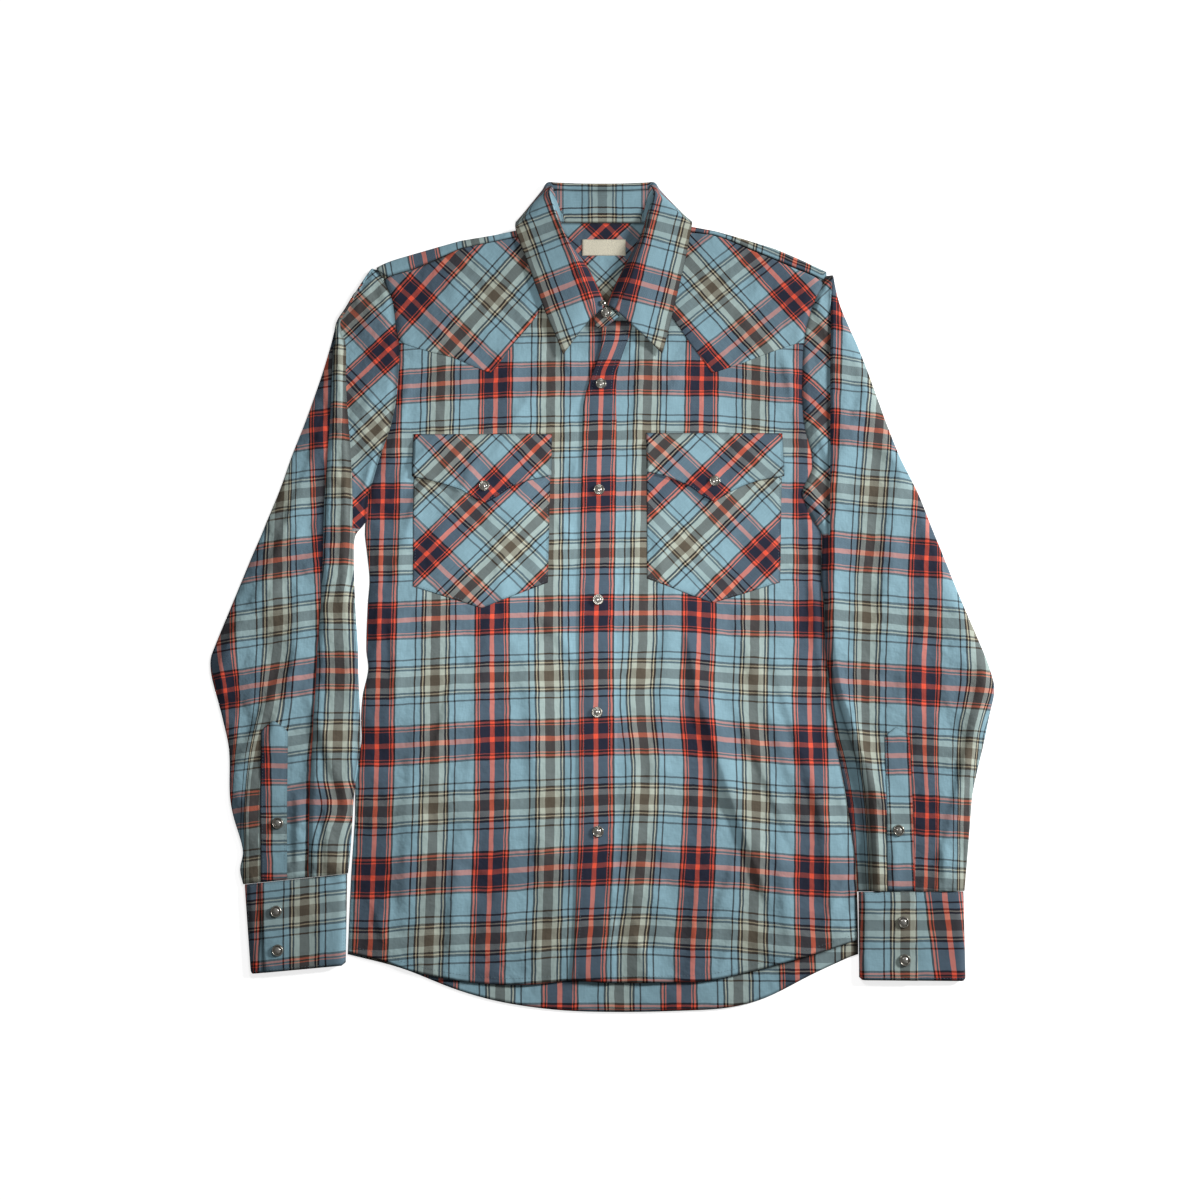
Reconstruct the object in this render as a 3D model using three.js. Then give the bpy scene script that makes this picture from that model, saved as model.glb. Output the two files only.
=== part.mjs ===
// Western snap shirt laid flat, face up, in millimetres with +Z up and the collar towards +Y.
// Every table is read in the shirt's flat plane; the whole shirt is centred on its origin at the end.

import * as THREE from 'three';

// Driving sizes
const CLOTH = 1.2;
const GAP = 0.3;
const TRIM = 1.0;
const CUFF_WALL = 1.6;
const BAND_WALL = 1.4;
const CENTRE = { x: 1.5, y: 25.5 };
const SNAP = { radius: 5.5, height: 2.5, sides: 12 };

// Heights of the layers above the surface that the shirt lies on
const SIDE_UNDER = CLOTH + GAP;
const FRONT_UNDER = 3.0;
const FRONT_TOP = FRONT_UNDER + CLOTH;
const LAP = CLOTH + GAP;
const TRIM_UNDER = FRONT_TOP + GAP;
const FLAP_UNDER = TRIM_UNDER + TRIM + GAP;
const PLACKET_UNDER = FRONT_TOP + LAP + GAP;
const PLACKET_TOP = PLACKET_UNDER + CLOTH;
const SLEEVE = { edge: 3.0, slope: 4.5, flat: 5.2, cap: 4.6, hollowTop: 4.0 };
const CUFF = { edge: 3.6, flat: 5.4, lap: 1.5, hollowTop: 3.8 };

// Levels across the shirt, from the neck to the hem, that all the big pieces share
const LEVELS = [
  395, 388, 381, 373, 361, 350, 341, 333, 319, 306, 293, 283, 268, 252, 236, 220, 205, 190, 178, 163, 149,
  135, 122, 108, 94, 79, 66, 45, 20, -5, -30, -50, -70, -95, -118, -142, -168, -191, -216, -240, -262,
];
const LAST_LEVEL = LEVELS[LEVELS.length - 1];
const HEM_STEPS = 3;
const HEM_CORNER = -341;

// Outer edge of the body, at the shoulder seam, the armhole and the side seam
const BODY_EDGE = [
  { y: 395, left: -62, right: 70 },
  { y: 391, left: -72, right: 92 },
  { y: 388, left: -80, right: 120 },
  { y: 381, left: -110, right: 139 },
  { y: 373, left: -146, right: 156 },
  { y: 361, left: -171, right: 183 },
  { y: 350, left: -195, right: 207 },
  { y: 341, left: -222, right: 227 },
  { y: 333, left: -223, right: 232 },
  { y: 319, left: -217, right: 225 },
  { y: 306, left: -214, right: 220 },
  { y: 283, left: -211, right: 213 },
  { y: 268, left: -208, right: 211 },
  { y: 236, left: -208, right: 209 },
  { y: 205, left: -210, right: 208 },
  { y: 178, left: -215, right: 210 },
  { y: 149, left: -224, right: 216 },
  { y: 135, left: -228, right: 216 },
  { y: 122, left: -231, right: 210 },
  { y: 108, left: -235, right: 205 },
  { y: 94, left: -236.5, right: 210 },
  { y: 79, left: -237, right: 217 },
  { y: 66, left: -237, right: 224 },
  { y: 45, left: -234, right: 223 },
  { y: 20, left: -231, right: 222 },
  { y: -5, left: -232, right: 224 },
  { y: -50, left: -232, right: 224 },
  { y: -70, left: -229.5, right: 225.5 },
  { y: -95, left: -234, right: 227 },
  { y: -118, left: -235, right: 229 },
  { y: -142, left: -234, right: 231.5 },
  { y: -168, left: -238.5, right: 235.5 },
  { y: -191, left: -238.5, right: 239 },
  { y: -216, left: -238, right: 242 },
  { y: -262, left: -239.5, right: 247 },
  { y: -290, left: -240, right: 243.5 },
  { y: -341, left: -240.5, right: 244 },
];

// Inner edge of each front: the neck seam, then the edge hidden by the placket
const FRONT_INNER = [
  { y: 395, left: -55, right: 60 },
  { y: 388, left: -46, right: 48 },
  { y: 379, left: -38, right: 43 },
  { y: 366, left: -28, right: 35 },
  { y: 354, left: -18, right: 29 },
  { y: 335, left: -9, right: 21 },
  { y: 319, left: -1, right: 16 },
  { y: 306, left: 6, right: 15 },
  { y: 293, left: 10, right: 12 },
  { y: 283, left: 11, right: 3 },
  { y: 268, left: 11, right: 3 },
  { y: 252, left: 11, right: 0 },
  { y: 230, left: 11, right: -8 },
  { y: 205, left: 11, right: -14 },
  { y: 178, left: 10, right: -16 },
  { y: 66, left: 9, right: -18 },
  { y: -50, left: 8, right: -19 },
  { y: -168, left: 8, right: -18 },
  { y: -240, left: 6, right: -20 },
  { y: -290, left: 4, right: -22 },
  { y: -341, left: -1, right: -25 },
];

const FRONT_HEM = [
  { x: -241, y: -341 },
  { x: -206, y: -349 },
  { x: -177, y: -359 },
  { x: -121, y: -369 },
  { x: -67, y: -371 },
  { x: -26, y: -367 },
  { x: 4, y: -369 },
  { x: 61, y: -369 },
  { x: 103, y: -367 },
  { x: 151, y: -357 },
  { x: 203, y: -343 },
  { x: 245, y: -330 },
];

const BACK_HEM = [
  { x: -241, y: -343 },
  { x: -189, y: -356 },
  { x: -135, y: -376 },
  { x: -93, y: -387 },
  { x: -42, y: -394 },
  { x: 9, y: -396 },
  { x: 74, y: -395 },
  { x: 122, y: -392 },
  { x: 157, y: -383 },
  { x: 203, y: -361 },
  { x: 244, y: -343 },
];

// Placket: its centre line and width, pulled aside under the collar
const PLACKET_PATH = [
  { y: 293, x: 17, width: 31 },
  { y: 283, x: 17, width: 31 },
  { y: 268, x: 14.5, width: 26 },
  { y: 252, x: 10, width: 24 },
  { y: 230, x: 3.5, width: 27 },
  { y: 205, x: 0, width: 33 },
  { y: 178, x: -0.5, width: 35 },
  { y: 66, x: -2, width: 35.5 },
  { y: -50, x: -3.5, width: 35 },
  { y: -168, x: -3, width: 35 },
  { y: -240, x: -3.8, width: 35 },
  { y: -290, x: -6, width: 34.5 },
  { y: -341, x: -10, width: 34 },
];

// Shoulders: the folded edge of the back yoke and the seam of the front yoke, seen from above,
// and the lower edge of its underside at the armhole
const BACK_YOKE_SEAM = 290;
const SHOULDER_LINE = [
  { x: -233, edge: 352, seam: 349.4, under: 348 },
  { x: -227, edge: 355.5, seam: 345.4, under: 339.5 },
  { x: -222, edge: 358, seam: 341.6, under: 333 },
  { x: -214, edge: 361, seam: 344.5, under: 310 },
  { x: -211, edge: 362, seam: 345.5, under: 290 },
  { x: -195, edge: 367, seam: 350.4, under: 290 },
  { x: -171, edge: 374.5, seam: 361.4, under: 290 },
  { x: -146, edge: 382, seam: 373.4, under: 290 },
  { x: -110, edge: 388.5, seam: 381.4, under: 290 },
  { x: -80, edge: 395.5, seam: 388.4, under: 290 },
  { x: -62, edge: 399, seam: 395.4, under: 290 },
];
const NECK_LINE = [
  { x: -52, edge: 400 },
  { x: -43, edge: 400 },
  { x: 48, edge: 400 },
  { x: 58, edge: 400 },
];
const SHOULDER_LINE_RIGHT = [
  { x: 70, edge: 400, seam: 395.4, under: 290 },
  { x: 92, edge: 398.5, seam: 392.8, under: 290 },
  { x: 120, edge: 393, seam: 388.4, under: 290 },
  { x: 139, edge: 387.5, seam: 381.4, under: 290 },
  { x: 156, edge: 382, seam: 373.4, under: 290 },
  { x: 183, edge: 373, seam: 361.4, under: 290 },
  { x: 207, edge: 362, seam: 350.4, under: 290 },
  { x: 215, edge: 358, seam: 347.2, under: 290 },
  { x: 220, edge: 355.5, seam: 345, under: 308 },
  { x: 227, edge: 352, seam: 341.4, under: 323 },
  { x: 232, edge: 349.5, seam: 338, under: 334 },
  { x: 236, edge: 347.5, seam: 343, under: 341 },
];
const HOOK = { top: 4.8, under: 3.4, round: 2.2 };

// Front yokes: edges of the two pointed pieces below the shoulder seam
const YOKE_EDGE = [
  { y: 268, leftOut: -203, leftIn: -89, rightOut: 203, rightIn: 93 },
  { y: 260, leftOut: -178, leftIn: -95, rightOut: 180, rightIn: 99 },
  { y: 253, leftOut: -152, leftIn: -99.5, rightOut: 162, rightIn: 104 },
  { y: 245, leftOut: -134, leftIn: -105, rightOut: 141, rightIn: 110 },
  { y: 237, leftOut: -115, leftIn: -111, rightOut: 118, rightIn: 115 },
];
const YOKE_INNER = [
  { y: 395, left: -59, right: 65 },
  { y: 373, left: -41, right: 46 },
  { y: 350, left: -27, right: 35 },
  { y: 330, left: -46, right: 51 },
  { y: 306, left: -62, right: 68 },
  { y: 293, left: -69, right: 77 },
  { y: 268, left: -89, right: 93 },
];

// Pockets and their flaps, column by column
const POCKETS = {
  left: {
    flapTop: 171,
    flap: [
      { x: -190, y: 126 },
      { x: -166, y: 120 },
      { x: -142, y: 112 },
      { x: -126, y: 103 },
      { x: -115, y: 98 },
      { x: -103, y: 105 },
      { x: -89, y: 115 },
      { x: -74, y: 121 },
      { x: -49, y: 127 },
    ],
    pouch: [
      { top: -189.5, bottom: -187, y: 13 },
      { top: -153, bottom: -152, y: 2 },
      { top: -117, bottom: -118, y: -9 },
      { top: -84, bottom: -85, y: 4 },
      { top: -50, bottom: -52, y: 17 },
    ],
  },
  right: {
    flapTop: 172,
    flap: [
      { x: 47, y: 131 },
      { x: 70, y: 125 },
      { x: 91, y: 115 },
      { x: 104, y: 105 },
      { x: 115, y: 99 },
      { x: 128, y: 107 },
      { x: 143, y: 115 },
      { x: 160, y: 121 },
      { x: 186, y: 126 },
    ],
    pouch: [
      { top: 47.5, bottom: 47, y: 21 },
      { top: 80, bottom: 78, y: 9 },
      { top: 115, bottom: 112, y: -4 },
      { top: 150, bottom: 147, y: 7 },
      { top: 185.5, bottom: 180, y: 17 },
    ],
  },
};
const POUCH_TOP_DROP = 14;
const FLAP_STEP_DROP = { sewn: 9, over: 13 };

// Sleeves: outer fold, the lying fold's two edges, and the armhole then the inner fold
const SLEEVE_LEFT = [
  { y: 350, out: -238.5, lap: -237.8, fold: -237.2, inner: -235.6 },
  { y: 341, out: -245, lap: -244, fold: -243, inner: -229.5 },
  { y: 319, out: -257.5, lap: -256.6, fold: -255.6, inner: -217.4 },
  { y: 306, out: -264.5, lap: -263.4, fold: -262, inner: -214.4 },
  { y: 293, out: -272, lap: -271, fold: -269.5, inner: -212.4 },
  { y: 283, out: -275, lap: -273.5, fold: -269, inner: -211.4 },
  { y: 268, out: -278, lap: -275, fold: -263.5, inner: -208.4 },
  { y: 236, out: -286, lap: -275.5, fold: -262, inner: -208.4 },
  { y: 205, out: -295, lap: -275.5, fold: -260, inner: -210.4 },
  { y: 178, out: -303.5, lap: -276, fold: -257, inner: -215.4 },
  { y: 149, out: -313.5, lap: -277, fold: -254, inner: -224.4 },
  { y: 122, out: -321.5, lap: -278, fold: -252, inner: -231.4 },
  { y: 108, out: -326, lap: -278.3, fold: -251.2, inner: -235.4 },
  { y: 94, out: -331, lap: -278.5, fold: -250.5, inner: -236.9 },
  { y: 79, out: -336.5, lap: -278.5, fold: -250, inner: -237.8 },
  { y: 66, out: -341, lap: -278.5, fold: -249.8, inner: -248 },
  { y: 45, out: -349, lap: -278, fold: -249.8, inner: -248 },
  { y: -5, out: -367, lap: -278, fold: -246.8, inner: -245 },
  { y: -50, out: -383, lap: -280, fold: -242.6, inner: -240.8 },
  { y: -70, out: -386, lap: -280, fold: -241.6, inner: -239.8 },
  { y: -95, out: -378.5, lap: -280.5, fold: -239.6, inner: -237.8 },
  { y: -118, out: -371, lap: -281, fold: -238.2, inner: -236.4 },
  { y: -142, out: -364.5, lap: -281.5, fold: -237, inner: -235.2 },
  { y: -168, out: -361, lap: -282, fold: -241.5, inner: -239.7 },
  { y: -191, out: -358, lap: -282, fold: -241.5, inner: -239.7 },
  { y: -216, out: -353, lap: -281.5, fold: -241.6, inner: -239.8 },
  { y: -240, out: -347.5, lap: -281, fold: -243, inner: -241.2 },
  { y: -276, out: -341, lap: -280, fold: -247.4, inner: -245.6 },
];
const SLEEVE_RIGHT = [
  { y: 341, out: 244.5, fold: 242, inner: 236.6 },
  { y: 333, out: 245, fold: 241, inner: 232.6 },
  { y: 319, out: 247.5, fold: 239.5, inner: 225.6 },
  { y: 306, out: 251, fold: 238.5, inner: 220.4 },
  { y: 283, out: 259.5, fold: 238, inner: 213.4 },
  { y: 268, out: 265.5, fold: 237, inner: 211.4 },
  { y: 236, out: 276.5, fold: 236, inner: 209.4 },
  { y: 205, out: 286, fold: 235, inner: 208.4 },
  { y: 178, out: 294.5, fold: 234, inner: 210.4 },
  { y: 149, out: 304.5, fold: 233, inner: 216.5 },
  { y: 135, out: 310.5, fold: 232.5, inner: 216.5 },
  { y: 122, out: 316.5, fold: 232, inner: 210.5 },
  { y: 108, out: 322.5, fold: 231.5, inner: 205.5 },
  { y: 94, out: 327.5, fold: 231, inner: 210.6 },
  { y: 79, out: 332.5, fold: 230.5, inner: 217.8 },
  { y: 66, out: 337, fold: 230, inner: 225 },
  { y: 45, out: 344.5, fold: 229, inner: 224.1 },
  { y: 20, out: 353, fold: 228, inner: 223.2 },
  { y: -5, out: 362, fold: 227.6, inner: 225 },
  { y: -50, out: 379, fold: 228, inner: 225 },
  { y: -70, out: 385.5, fold: 230, inner: 226.6 },
  { y: -90, out: 389, fold: 233, inner: 227.6 },
  { y: -118, out: 382, fold: 240, inner: 230.1 },
  { y: -142, out: 376, fold: 247, inner: 232.6 },
  { y: -168, out: 368.5, fold: 254, inner: 236.5 },
  { y: -191, out: 362.5, fold: 259, inner: 240 },
  { y: -216, out: 359, fold: 262, inner: 243 },
  { y: -262, out: 353, fold: 262, inner: 248.1 },
  { y: -284, out: 350, fold: 262, inner: 248.4 },
];
const ARMHOLE_END = 79;
const FOLD_RAISE = 3.2;

const CUFFS = {
  left: {
    top: { from: [-341, -278], to: [-246, -268] },
    bottom: { from: [-332, -361], to: [-242.5, -353] },
    lap: 0.15,
    lapSide: 'above',
  },
  right: {
    top: { from: [248, -285], to: [349, -284.5] },
    bottom: { from: [246, -366.5], to: [347, -367.5] },
    lap: 0.54,
    lapSide: 'below',
  },
};

// Sleeve plackets: pointed strips that end at the cuffs
const SLEEVE_PLACKETS = {
  left: [
    { y: -123, from: -319.5, to: -318.5 },
    { y: -132, from: -331, to: -305 },
    { y: -205, from: -329, to: -303 },
    { y: -269, from: -325, to: -300 },
  ],
  right: [
    { y: -128, from: 289.5, to: 290.5 },
    { y: -136, from: 278, to: 303 },
    { y: -205, from: 277, to: 303 },
    { y: -281, from: 275.5, to: 302 },
  ],
};

// Collar, section by section from the left tip round the back to the right tip: the neck seam,
// the fold line, the leaf's free edge, and how far the leaf is turned under (0 on top, 1 underneath)
const COLLAR = [
  { neck: [4, 304, 6.0], fold: [-8, 296, 8.9], edge: [-38, 255, 7.0], under: 0 },
  { neck: [3, 314, 6.0], fold: [-12, 309, 11.2], edge: [-46, 276, 7.0], under: 0 },
  { neck: [-4, 331, 5.6], fold: [-20, 331, 13.0], edge: [-57, 303, 7.0], under: 0 },
  { neck: [-15, 353, 5.4], fold: [-30, 358, 13.5], edge: [-68, 334, 7.0], under: 0 },
  { neck: [-30, 374, 5.0], fold: [-40, 384, 12.4], edge: [-77, 360, 7.0], under: 0 },
  { neck: [-38, 387, 4.2], fold: [-48, 405, 10.0], edge: [-84, 379, 6.9], under: 0 },
  { neck: [-42, 396, 2.8], fold: [-54, 425, 7.6], edge: [-87.5, 389, 6.8], under: 0.2 },
  { neck: [-42, 399, 2.3], fold: [-57.5, 437.5, 5.4], edge: [-88.5, 400, 4.2], under: 0.55 },
  { neck: [-38, 399, 2.2], fold: [-55, 446.5, 3.6], edge: [-84, 404, 1.7], under: 0.9 },
  { neck: [-30, 399, 2.2], fold: [-44, 446.5, 3.2], edge: [-62, 405, 0.6], under: 1 },
  { neck: [-12, 399, 2.2], fold: [-18, 445.5, 3.2], edge: [-24, 405, 0.6], under: 1 },
  { neck: [16, 399, 2.2], fold: [20, 445.5, 3.2], edge: [26, 405, 0.6], under: 1 },
  { neck: [36, 399, 2.2], fold: [46, 446.5, 3.2], edge: [66, 405, 0.6], under: 1 },
  { neck: [44, 399, 2.2], fold: [57, 446.5, 3.6], edge: [89, 405, 1.7], under: 0.9 },
  { neck: [48, 399, 2.3], fold: [59.5, 437.5, 5.4], edge: [96, 402, 4.2], under: 0.55 },
  { neck: [48, 396, 2.8], fold: [58, 427, 7.6], edge: [95.5, 394, 6.8], under: 0.2 },
  { neck: [44, 386, 4.2], fold: [53, 406, 10.0], edge: [93, 380, 6.9], under: 0 },
  { neck: [37, 373, 5.0], fold: [48, 383, 12.4], edge: [88, 355, 7.0], under: 0 },
  { neck: [27, 353, 5.4], fold: [39, 356, 13.5], edge: [81, 325, 7.0], under: 0 },
  { neck: [17, 332, 6.4], fold: [30, 330, 13.0], edge: [75, 300, 7.4], under: 0 },
  { neck: [11, 317, 7.6], fold: [22, 313, 12.0], edge: [70, 278, 7.6], under: 0 },
  { neck: [8, 308, 8.3], fold: [16.5, 302, 10.9], edge: [64, 256, 7.6], under: 0 },
];
const FOLD_TURN = { side: 1.0, back: 8.2, sideRise: -0.2, backRise: 1.7, bandGap: 1.8 };

// Tab at the right-hand end of the collar band, which laps over the left-hand end
const TAB = [
  { top: [7, 305], bottom: [15.5, 297] },
  { top: [3, 303], bottom: [12, 292] },
  { top: [-2, 299], bottom: [6, 286] },
  { top: [-5, 294], bottom: [0, 284] },
  { top: [-5.5, 290.5], bottom: [-3, 286.5] },
];
const TAB_LEVEL = 8.3;

const SNAPS = {
  placket: [
    [1, 224],
    [-1, 112],
    [-2, -1],
    [-3, -113],
    [-2, -228],
  ],
  cuffLeft: [
    [-309, -303],
    [-306, -339],
  ],
  cuffRight: [
    [289, -313],
    [289, -348],
  ],
};

// Colours
const BLUE = 0x7d9ba6;
const SLATE = 0x566672;
const NAVY = 0x2b303d;
const SAGE = 0x8f9787;
const RUST = 0xb5604f;
const CREAM = 0xe4dcc0;
const STEEL = 0xb9b7b0;

// Reads a table at a place between its rows by a smooth curve through them
function read(table, key, column, place) {
  const rising = table[0][key] < table[table.length - 1][key];
  const rows = rising ? table : [...table].reverse();
  const last = rows.length - 1;
  if (place <= rows[0][key]) return rows[0][column];
  if (place >= rows[last][key]) return rows[last][column];
  let i = 0;
  while (rows[i + 1][key] < place) i += 1;
  const slope = (a, b) => (rows[b][column] - rows[a][column]) / (rows[b][key] - rows[a][key]);
  const start = slope(Math.max(i - 1, 0), i + 1);
  const end = slope(i, Math.min(i + 2, last));
  const step = rows[i + 1][key] - rows[i][key];
  const t = (place - rows[i][key]) / step;
  const rise = rows[i + 1][column] - rows[i][column];
  const bend = t * (1 - t) * ((1 - t) * (start * step - rise) - t * (end * step - rise));
  return rows[i][column] + rise * t + bend;
}

const mix = (a, b, t) => a + (b - a) * t;
const ease = (t) => {
  const held = Math.min(Math.max(t, 0), 1);
  return held * held * (3 - 2 * held);
};

// Collects faces with shared corners into one closed body
class Skin {
  constructor() {
    this.places = [];
    this.faces = [];
    this.known = new Map();
  }

  corner([x, y, z]) {
    const name = [x, y, z].map((value) => Math.round(value * 1e4)).join(' ');
    if (!this.known.has(name)) {
      this.known.set(name, this.places.length);
      this.places.push([x, y, z]);
    }
    return this.known.get(name);
  }

  triangle(a, b, c) {
    if (a !== b && b !== c && c !== a) this.faces.push([a, b, c]);
  }

  quad(a, b, c, d) {
    this.triangle(a, b, c);
    this.triangle(a, c, d);
  }

  layer(grid, facesUp) {
    const index = grid.map((row) => row.map((place) => this.corner(place)));
    for (let j = 0; j + 1 < index.length; j += 1) {
      for (let i = 0; i + 1 < index[j].length; i += 1) {
        const ring = [index[j][i], index[j + 1][i], index[j + 1][i + 1], index[j][i + 1]];
        if (facesUp) this.quad(...ring);
        else this.quad(...ring.reverse());
      }
    }
    return index;
  }

  geometry() {
    const point = (i) => new THREE.Vector3(...this.places[i]);
    const volume = this.faces.reduce((sum, [a, b, c]) => sum + point(a).dot(point(b).cross(point(c))), 0);
    const faces = volume < 0 ? this.faces.map(([a, b, c]) => [a, c, b]) : this.faces;
    const body = new THREE.BufferGeometry();
    body.setAttribute('position', new THREE.Float32BufferAttribute(this.places.flat(), 3));
    body.setIndex(faces.flat());
    body.computeVertexNormals();
    return body;
  }
}

// The rim of a grid, down its left side, along the bottom, up the right side and back along the top
function rim(grid) {
  const rows = grid.length;
  const columns = grid[0].length;
  const ring = [];
  for (let j = 0; j + 1 < rows; j += 1) ring.push({ at: grid[j][0], side: 'left', row: j });
  for (let i = 0; i + 1 < columns; i += 1) ring.push({ at: grid[rows - 1][i], side: 'bottom', row: rows - 1 });
  for (let j = rows - 1; j > 0; j -= 1) ring.push({ at: grid[j][columns - 1], side: 'right', row: j - 1 });
  for (let i = columns - 1; i > 0; i -= 1) ring.push({ at: grid[0][i], side: 'top', row: 0 });
  return ring;
}

// A wall between two grids of places, closed round its rim
function wallBetween(upper, lower) {
  const skin = new Skin();
  const top = rim(skin.layer(upper, true));
  const bottom = rim(skin.layer(lower, false));
  top.forEach((corner, k) => {
    const next = (k + 1) % top.length;
    skin.quad(corner.at, bottom[k].at, bottom[next].at, top[next].at);
  });
  return skin.geometry();
}

// A flat-lying sheet: plan gives [x, y], under its lower height, for each row and column
function sheet(plan, under, wall) {
  const lift = (extra) => plan.map((row, j) => row.map(([x, y], i) => [x, y, under(x, y, j, i) + extra]));
  return wallBetween(lift(wall), lift(0));
}

// A curved sheet: places on its middle surface, moved out to both sides along their normals
function curvedSheet(middle, wall) {
  const at = (j, i) => new THREE.Vector3(...middle[j][i]);
  const rows = middle.length - 1;
  const columns = middle[0].length - 1;
  const side = (sign) =>
    middle.map((row, j) =>
      row.map((place, i) => {
        const along = at(Math.min(j + 1, rows), i).sub(at(Math.max(j - 1, 0), i));
        const across = at(j, Math.min(i + 1, columns)).sub(at(j, Math.max(i - 1, 0)));
        const normal = along.cross(across).normalize();
        return at(j, i).addScaledVector(normal, (sign * wall) / 2).toArray();
      }),
    );
  return wallBetween(side(1), side(-1));
}

// A tube pressed flat: an outer and an inner skin, joined round the open parts of the rim
function pressedTube({ outerPlan, innerPlan, top, hollowTop, wall, isOpen }) {
  const skin = new Skin();
  const lift = (plan, height) => plan.map((row, j) => row.map(([x, y], i) => [x, y, height(j, i)]));
  const outerTop = rim(skin.layer(lift(outerPlan, top), true));
  const innerTop = rim(skin.layer(lift(innerPlan, hollowTop), false));
  const innerBottom = rim(skin.layer(lift(innerPlan, () => wall), true));
  const outerBottom = rim(skin.layer(lift(outerPlan, () => 0), false));
  const open = outerTop.map(isOpen);
  outerTop.forEach((corner, k) => {
    const next = (k + 1) % outerTop.length;
    const before = (k + outerTop.length - 1) % outerTop.length;
    const [oT, iT, iB, oB] = [outerTop, innerTop, innerBottom, outerBottom].map((ring) => ring[k].at);
    const [oTn, iTn, iBn, oBn] = [outerTop, innerTop, innerBottom, outerBottom].map((ring) => ring[next].at);
    if (open[k]) {
      skin.quad(oTn, oT, iT, iTn);
      skin.quad(iBn, iB, oB, oBn);
    } else {
      skin.quad(oT, oB, oBn, oTn);
      skin.quad(iT, iTn, iBn, iB);
    }
    if (open[k] && !open[before]) skin.quad(oT, oB, iB, iT);
    if (!open[k] && open[before]) skin.quad(oT, iT, iB, oB);
  });
  return skin.geometry();
}

// Keeps a row of places in rising order, each a little past the one before
function inOrder(places) {
  const last = places.length - 1;
  const step = Math.min(0.6, (places[last] - places[0]) / (last + 1));
  for (let i = 1; i < last; i += 1) places[i] = Math.max(places[i], places[i - 1] + step);
  for (let i = last - 1; i > 0; i -= 1) places[i] = Math.min(places[i], places[i + 1] - step);
  return places;
}

const shirt = new THREE.Group();
shirt.name = 'western_snap_shirt';
const flat = new THREE.Group();
flat.position.set(-CENTRE.x, -CENTRE.y, 0);
shirt.add(flat);

function add(name, geometry, color, roughness = 0.9, metalness = 0) {
  const mesh = new THREE.Mesh(geometry, new THREE.MeshStandardMaterial({ color, roughness, metalness }));
  mesh.name = name;
  flat.add(mesh);
  return mesh;
}

// Height of the fronts' underside: raised in the middle, down to the back at the side seams,
// with the soft folds of the lower body
const FOLDS = [
  { x: -120, y: -120, lean: 0.12, width: 26, length: 120, height: 1.6 },
  { x: -60, y: -230, lean: -0.1, width: 24, length: 100, height: 1.4 },
  { x: -185, y: -230, lean: 0.05, width: 22, length: 90, height: 1.5 },
  { x: 70, y: -130, lean: 0.08, width: 28, length: 130, height: 1.6 },
  { x: 140, y: -200, lean: -0.12, width: 26, length: 120, height: 1.8 },
  { x: 200, y: -150, lean: -0.2, width: 22, length: 100, height: 1.5 },
];
const SIDE_SLOPE = 45;

function foldHeight(x, y) {
  const pocketClear = ease((-25 - y) / 60);
  return FOLDS.reduce((sum, fold) => {
    const off = x - fold.x - fold.lean * (y - fold.y);
    const across = Math.exp(-((off / fold.width) ** 2));
    const along = Math.exp(-(((y - fold.y) / fold.length) ** 4));
    return sum + fold.height * across * along * pocketClear;
  }, 0);
}

function frontUnder(x, y) {
  const fromSide = Math.min(x - read(BODY_EDGE, 'y', 'left', y), read(BODY_EDGE, 'y', 'right', y) - x);
  const alongSide = ease((120 - y) / 50);
  const up = ease(fromSide / SIDE_SLOPE);
  const middle = 1 - ease((Math.abs(x + 3) - 30) / 25);
  const raised = FRONT_UNDER + foldHeight(x, y) * up * (1 - middle);
  return mix(raised, mix(SIDE_UNDER, raised, up), alongSide);
}

// Rows of a front: the shared levels, then a few that curve into the hem
function frontRow(level, x) {
  if (level <= 0) return LEVELS[LEVELS.length - 1 + level];
  return mix(LAST_LEVEL, read(FRONT_HEM, 'x', 'y', x), level / HEM_STEPS);
}
const frontRowIndexes = (first) => {
  const rows = [];
  for (let k = first - LEVELS.length + 1; k <= HEM_STEPS; k += 1) rows.push(k);
  return rows;
};
const rowLevel = (k) => (k <= 0 ? LEVELS[LEVELS.length - 1 + k] : mix(LAST_LEVEL, HEM_CORNER, k / HEM_STEPS));

// Left front, from its side to the edge hidden under the placket
function leftFront() {
  const columns = [0, 0.1, 0.25, 0.42, 0.6, 0.78];
  const plan = frontRowIndexes(0).map((k) => {
    const y = rowLevel(k);
    const outer = read(BODY_EDGE, 'y', 'left', y);
    const inner = read(FRONT_INNER, 'y', 'left', y);
    const beforePlacket = Math.min(inner - 6, -24);
    const xs = columns.map((part) => mix(outer, beforePlacket, part));
    const across = inOrder([...xs, beforePlacket, inner]);
    return across.map((x) => [x, frontRow(k, x)]);
  });
  return sheet(plan, (x, y) => frontUnder(x, y), CLOTH);
}

// Right front, which laps over the left one under the placket
function rightFront() {
  const columns = [0, 0.2, 0.4, 0.58, 0.75, 0.9, 1];
  const plan = frontRowIndexes(0).map((k) => {
    const y = rowLevel(k);
    const outer = read(BODY_EDGE, 'y', 'right', y);
    const inner = read(FRONT_INNER, 'y', 'right', y);
    const lapEnd = Math.max(inner + 1, Math.min(14, inner + 32));
    const clear = lapEnd + 8;
    const xs = columns.map((part) => mix(clear, outer, part));
    return inOrder([inner, lapEnd, ...xs]).map((x) => [x, frontRow(k, x)]);
  });
  const lapped = (j) => ease((313 - rowLevel(frontRowIndexes(0)[j])) / 8);
  return sheet(plan, (x, y, j, i) => frontUnder(x, y) + (i < 2 ? LAP * lapped(j) : 0), CLOTH);
}

add('front_left', leftFront(), SLATE);
add('front_right', rightFront(), SLATE);

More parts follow.
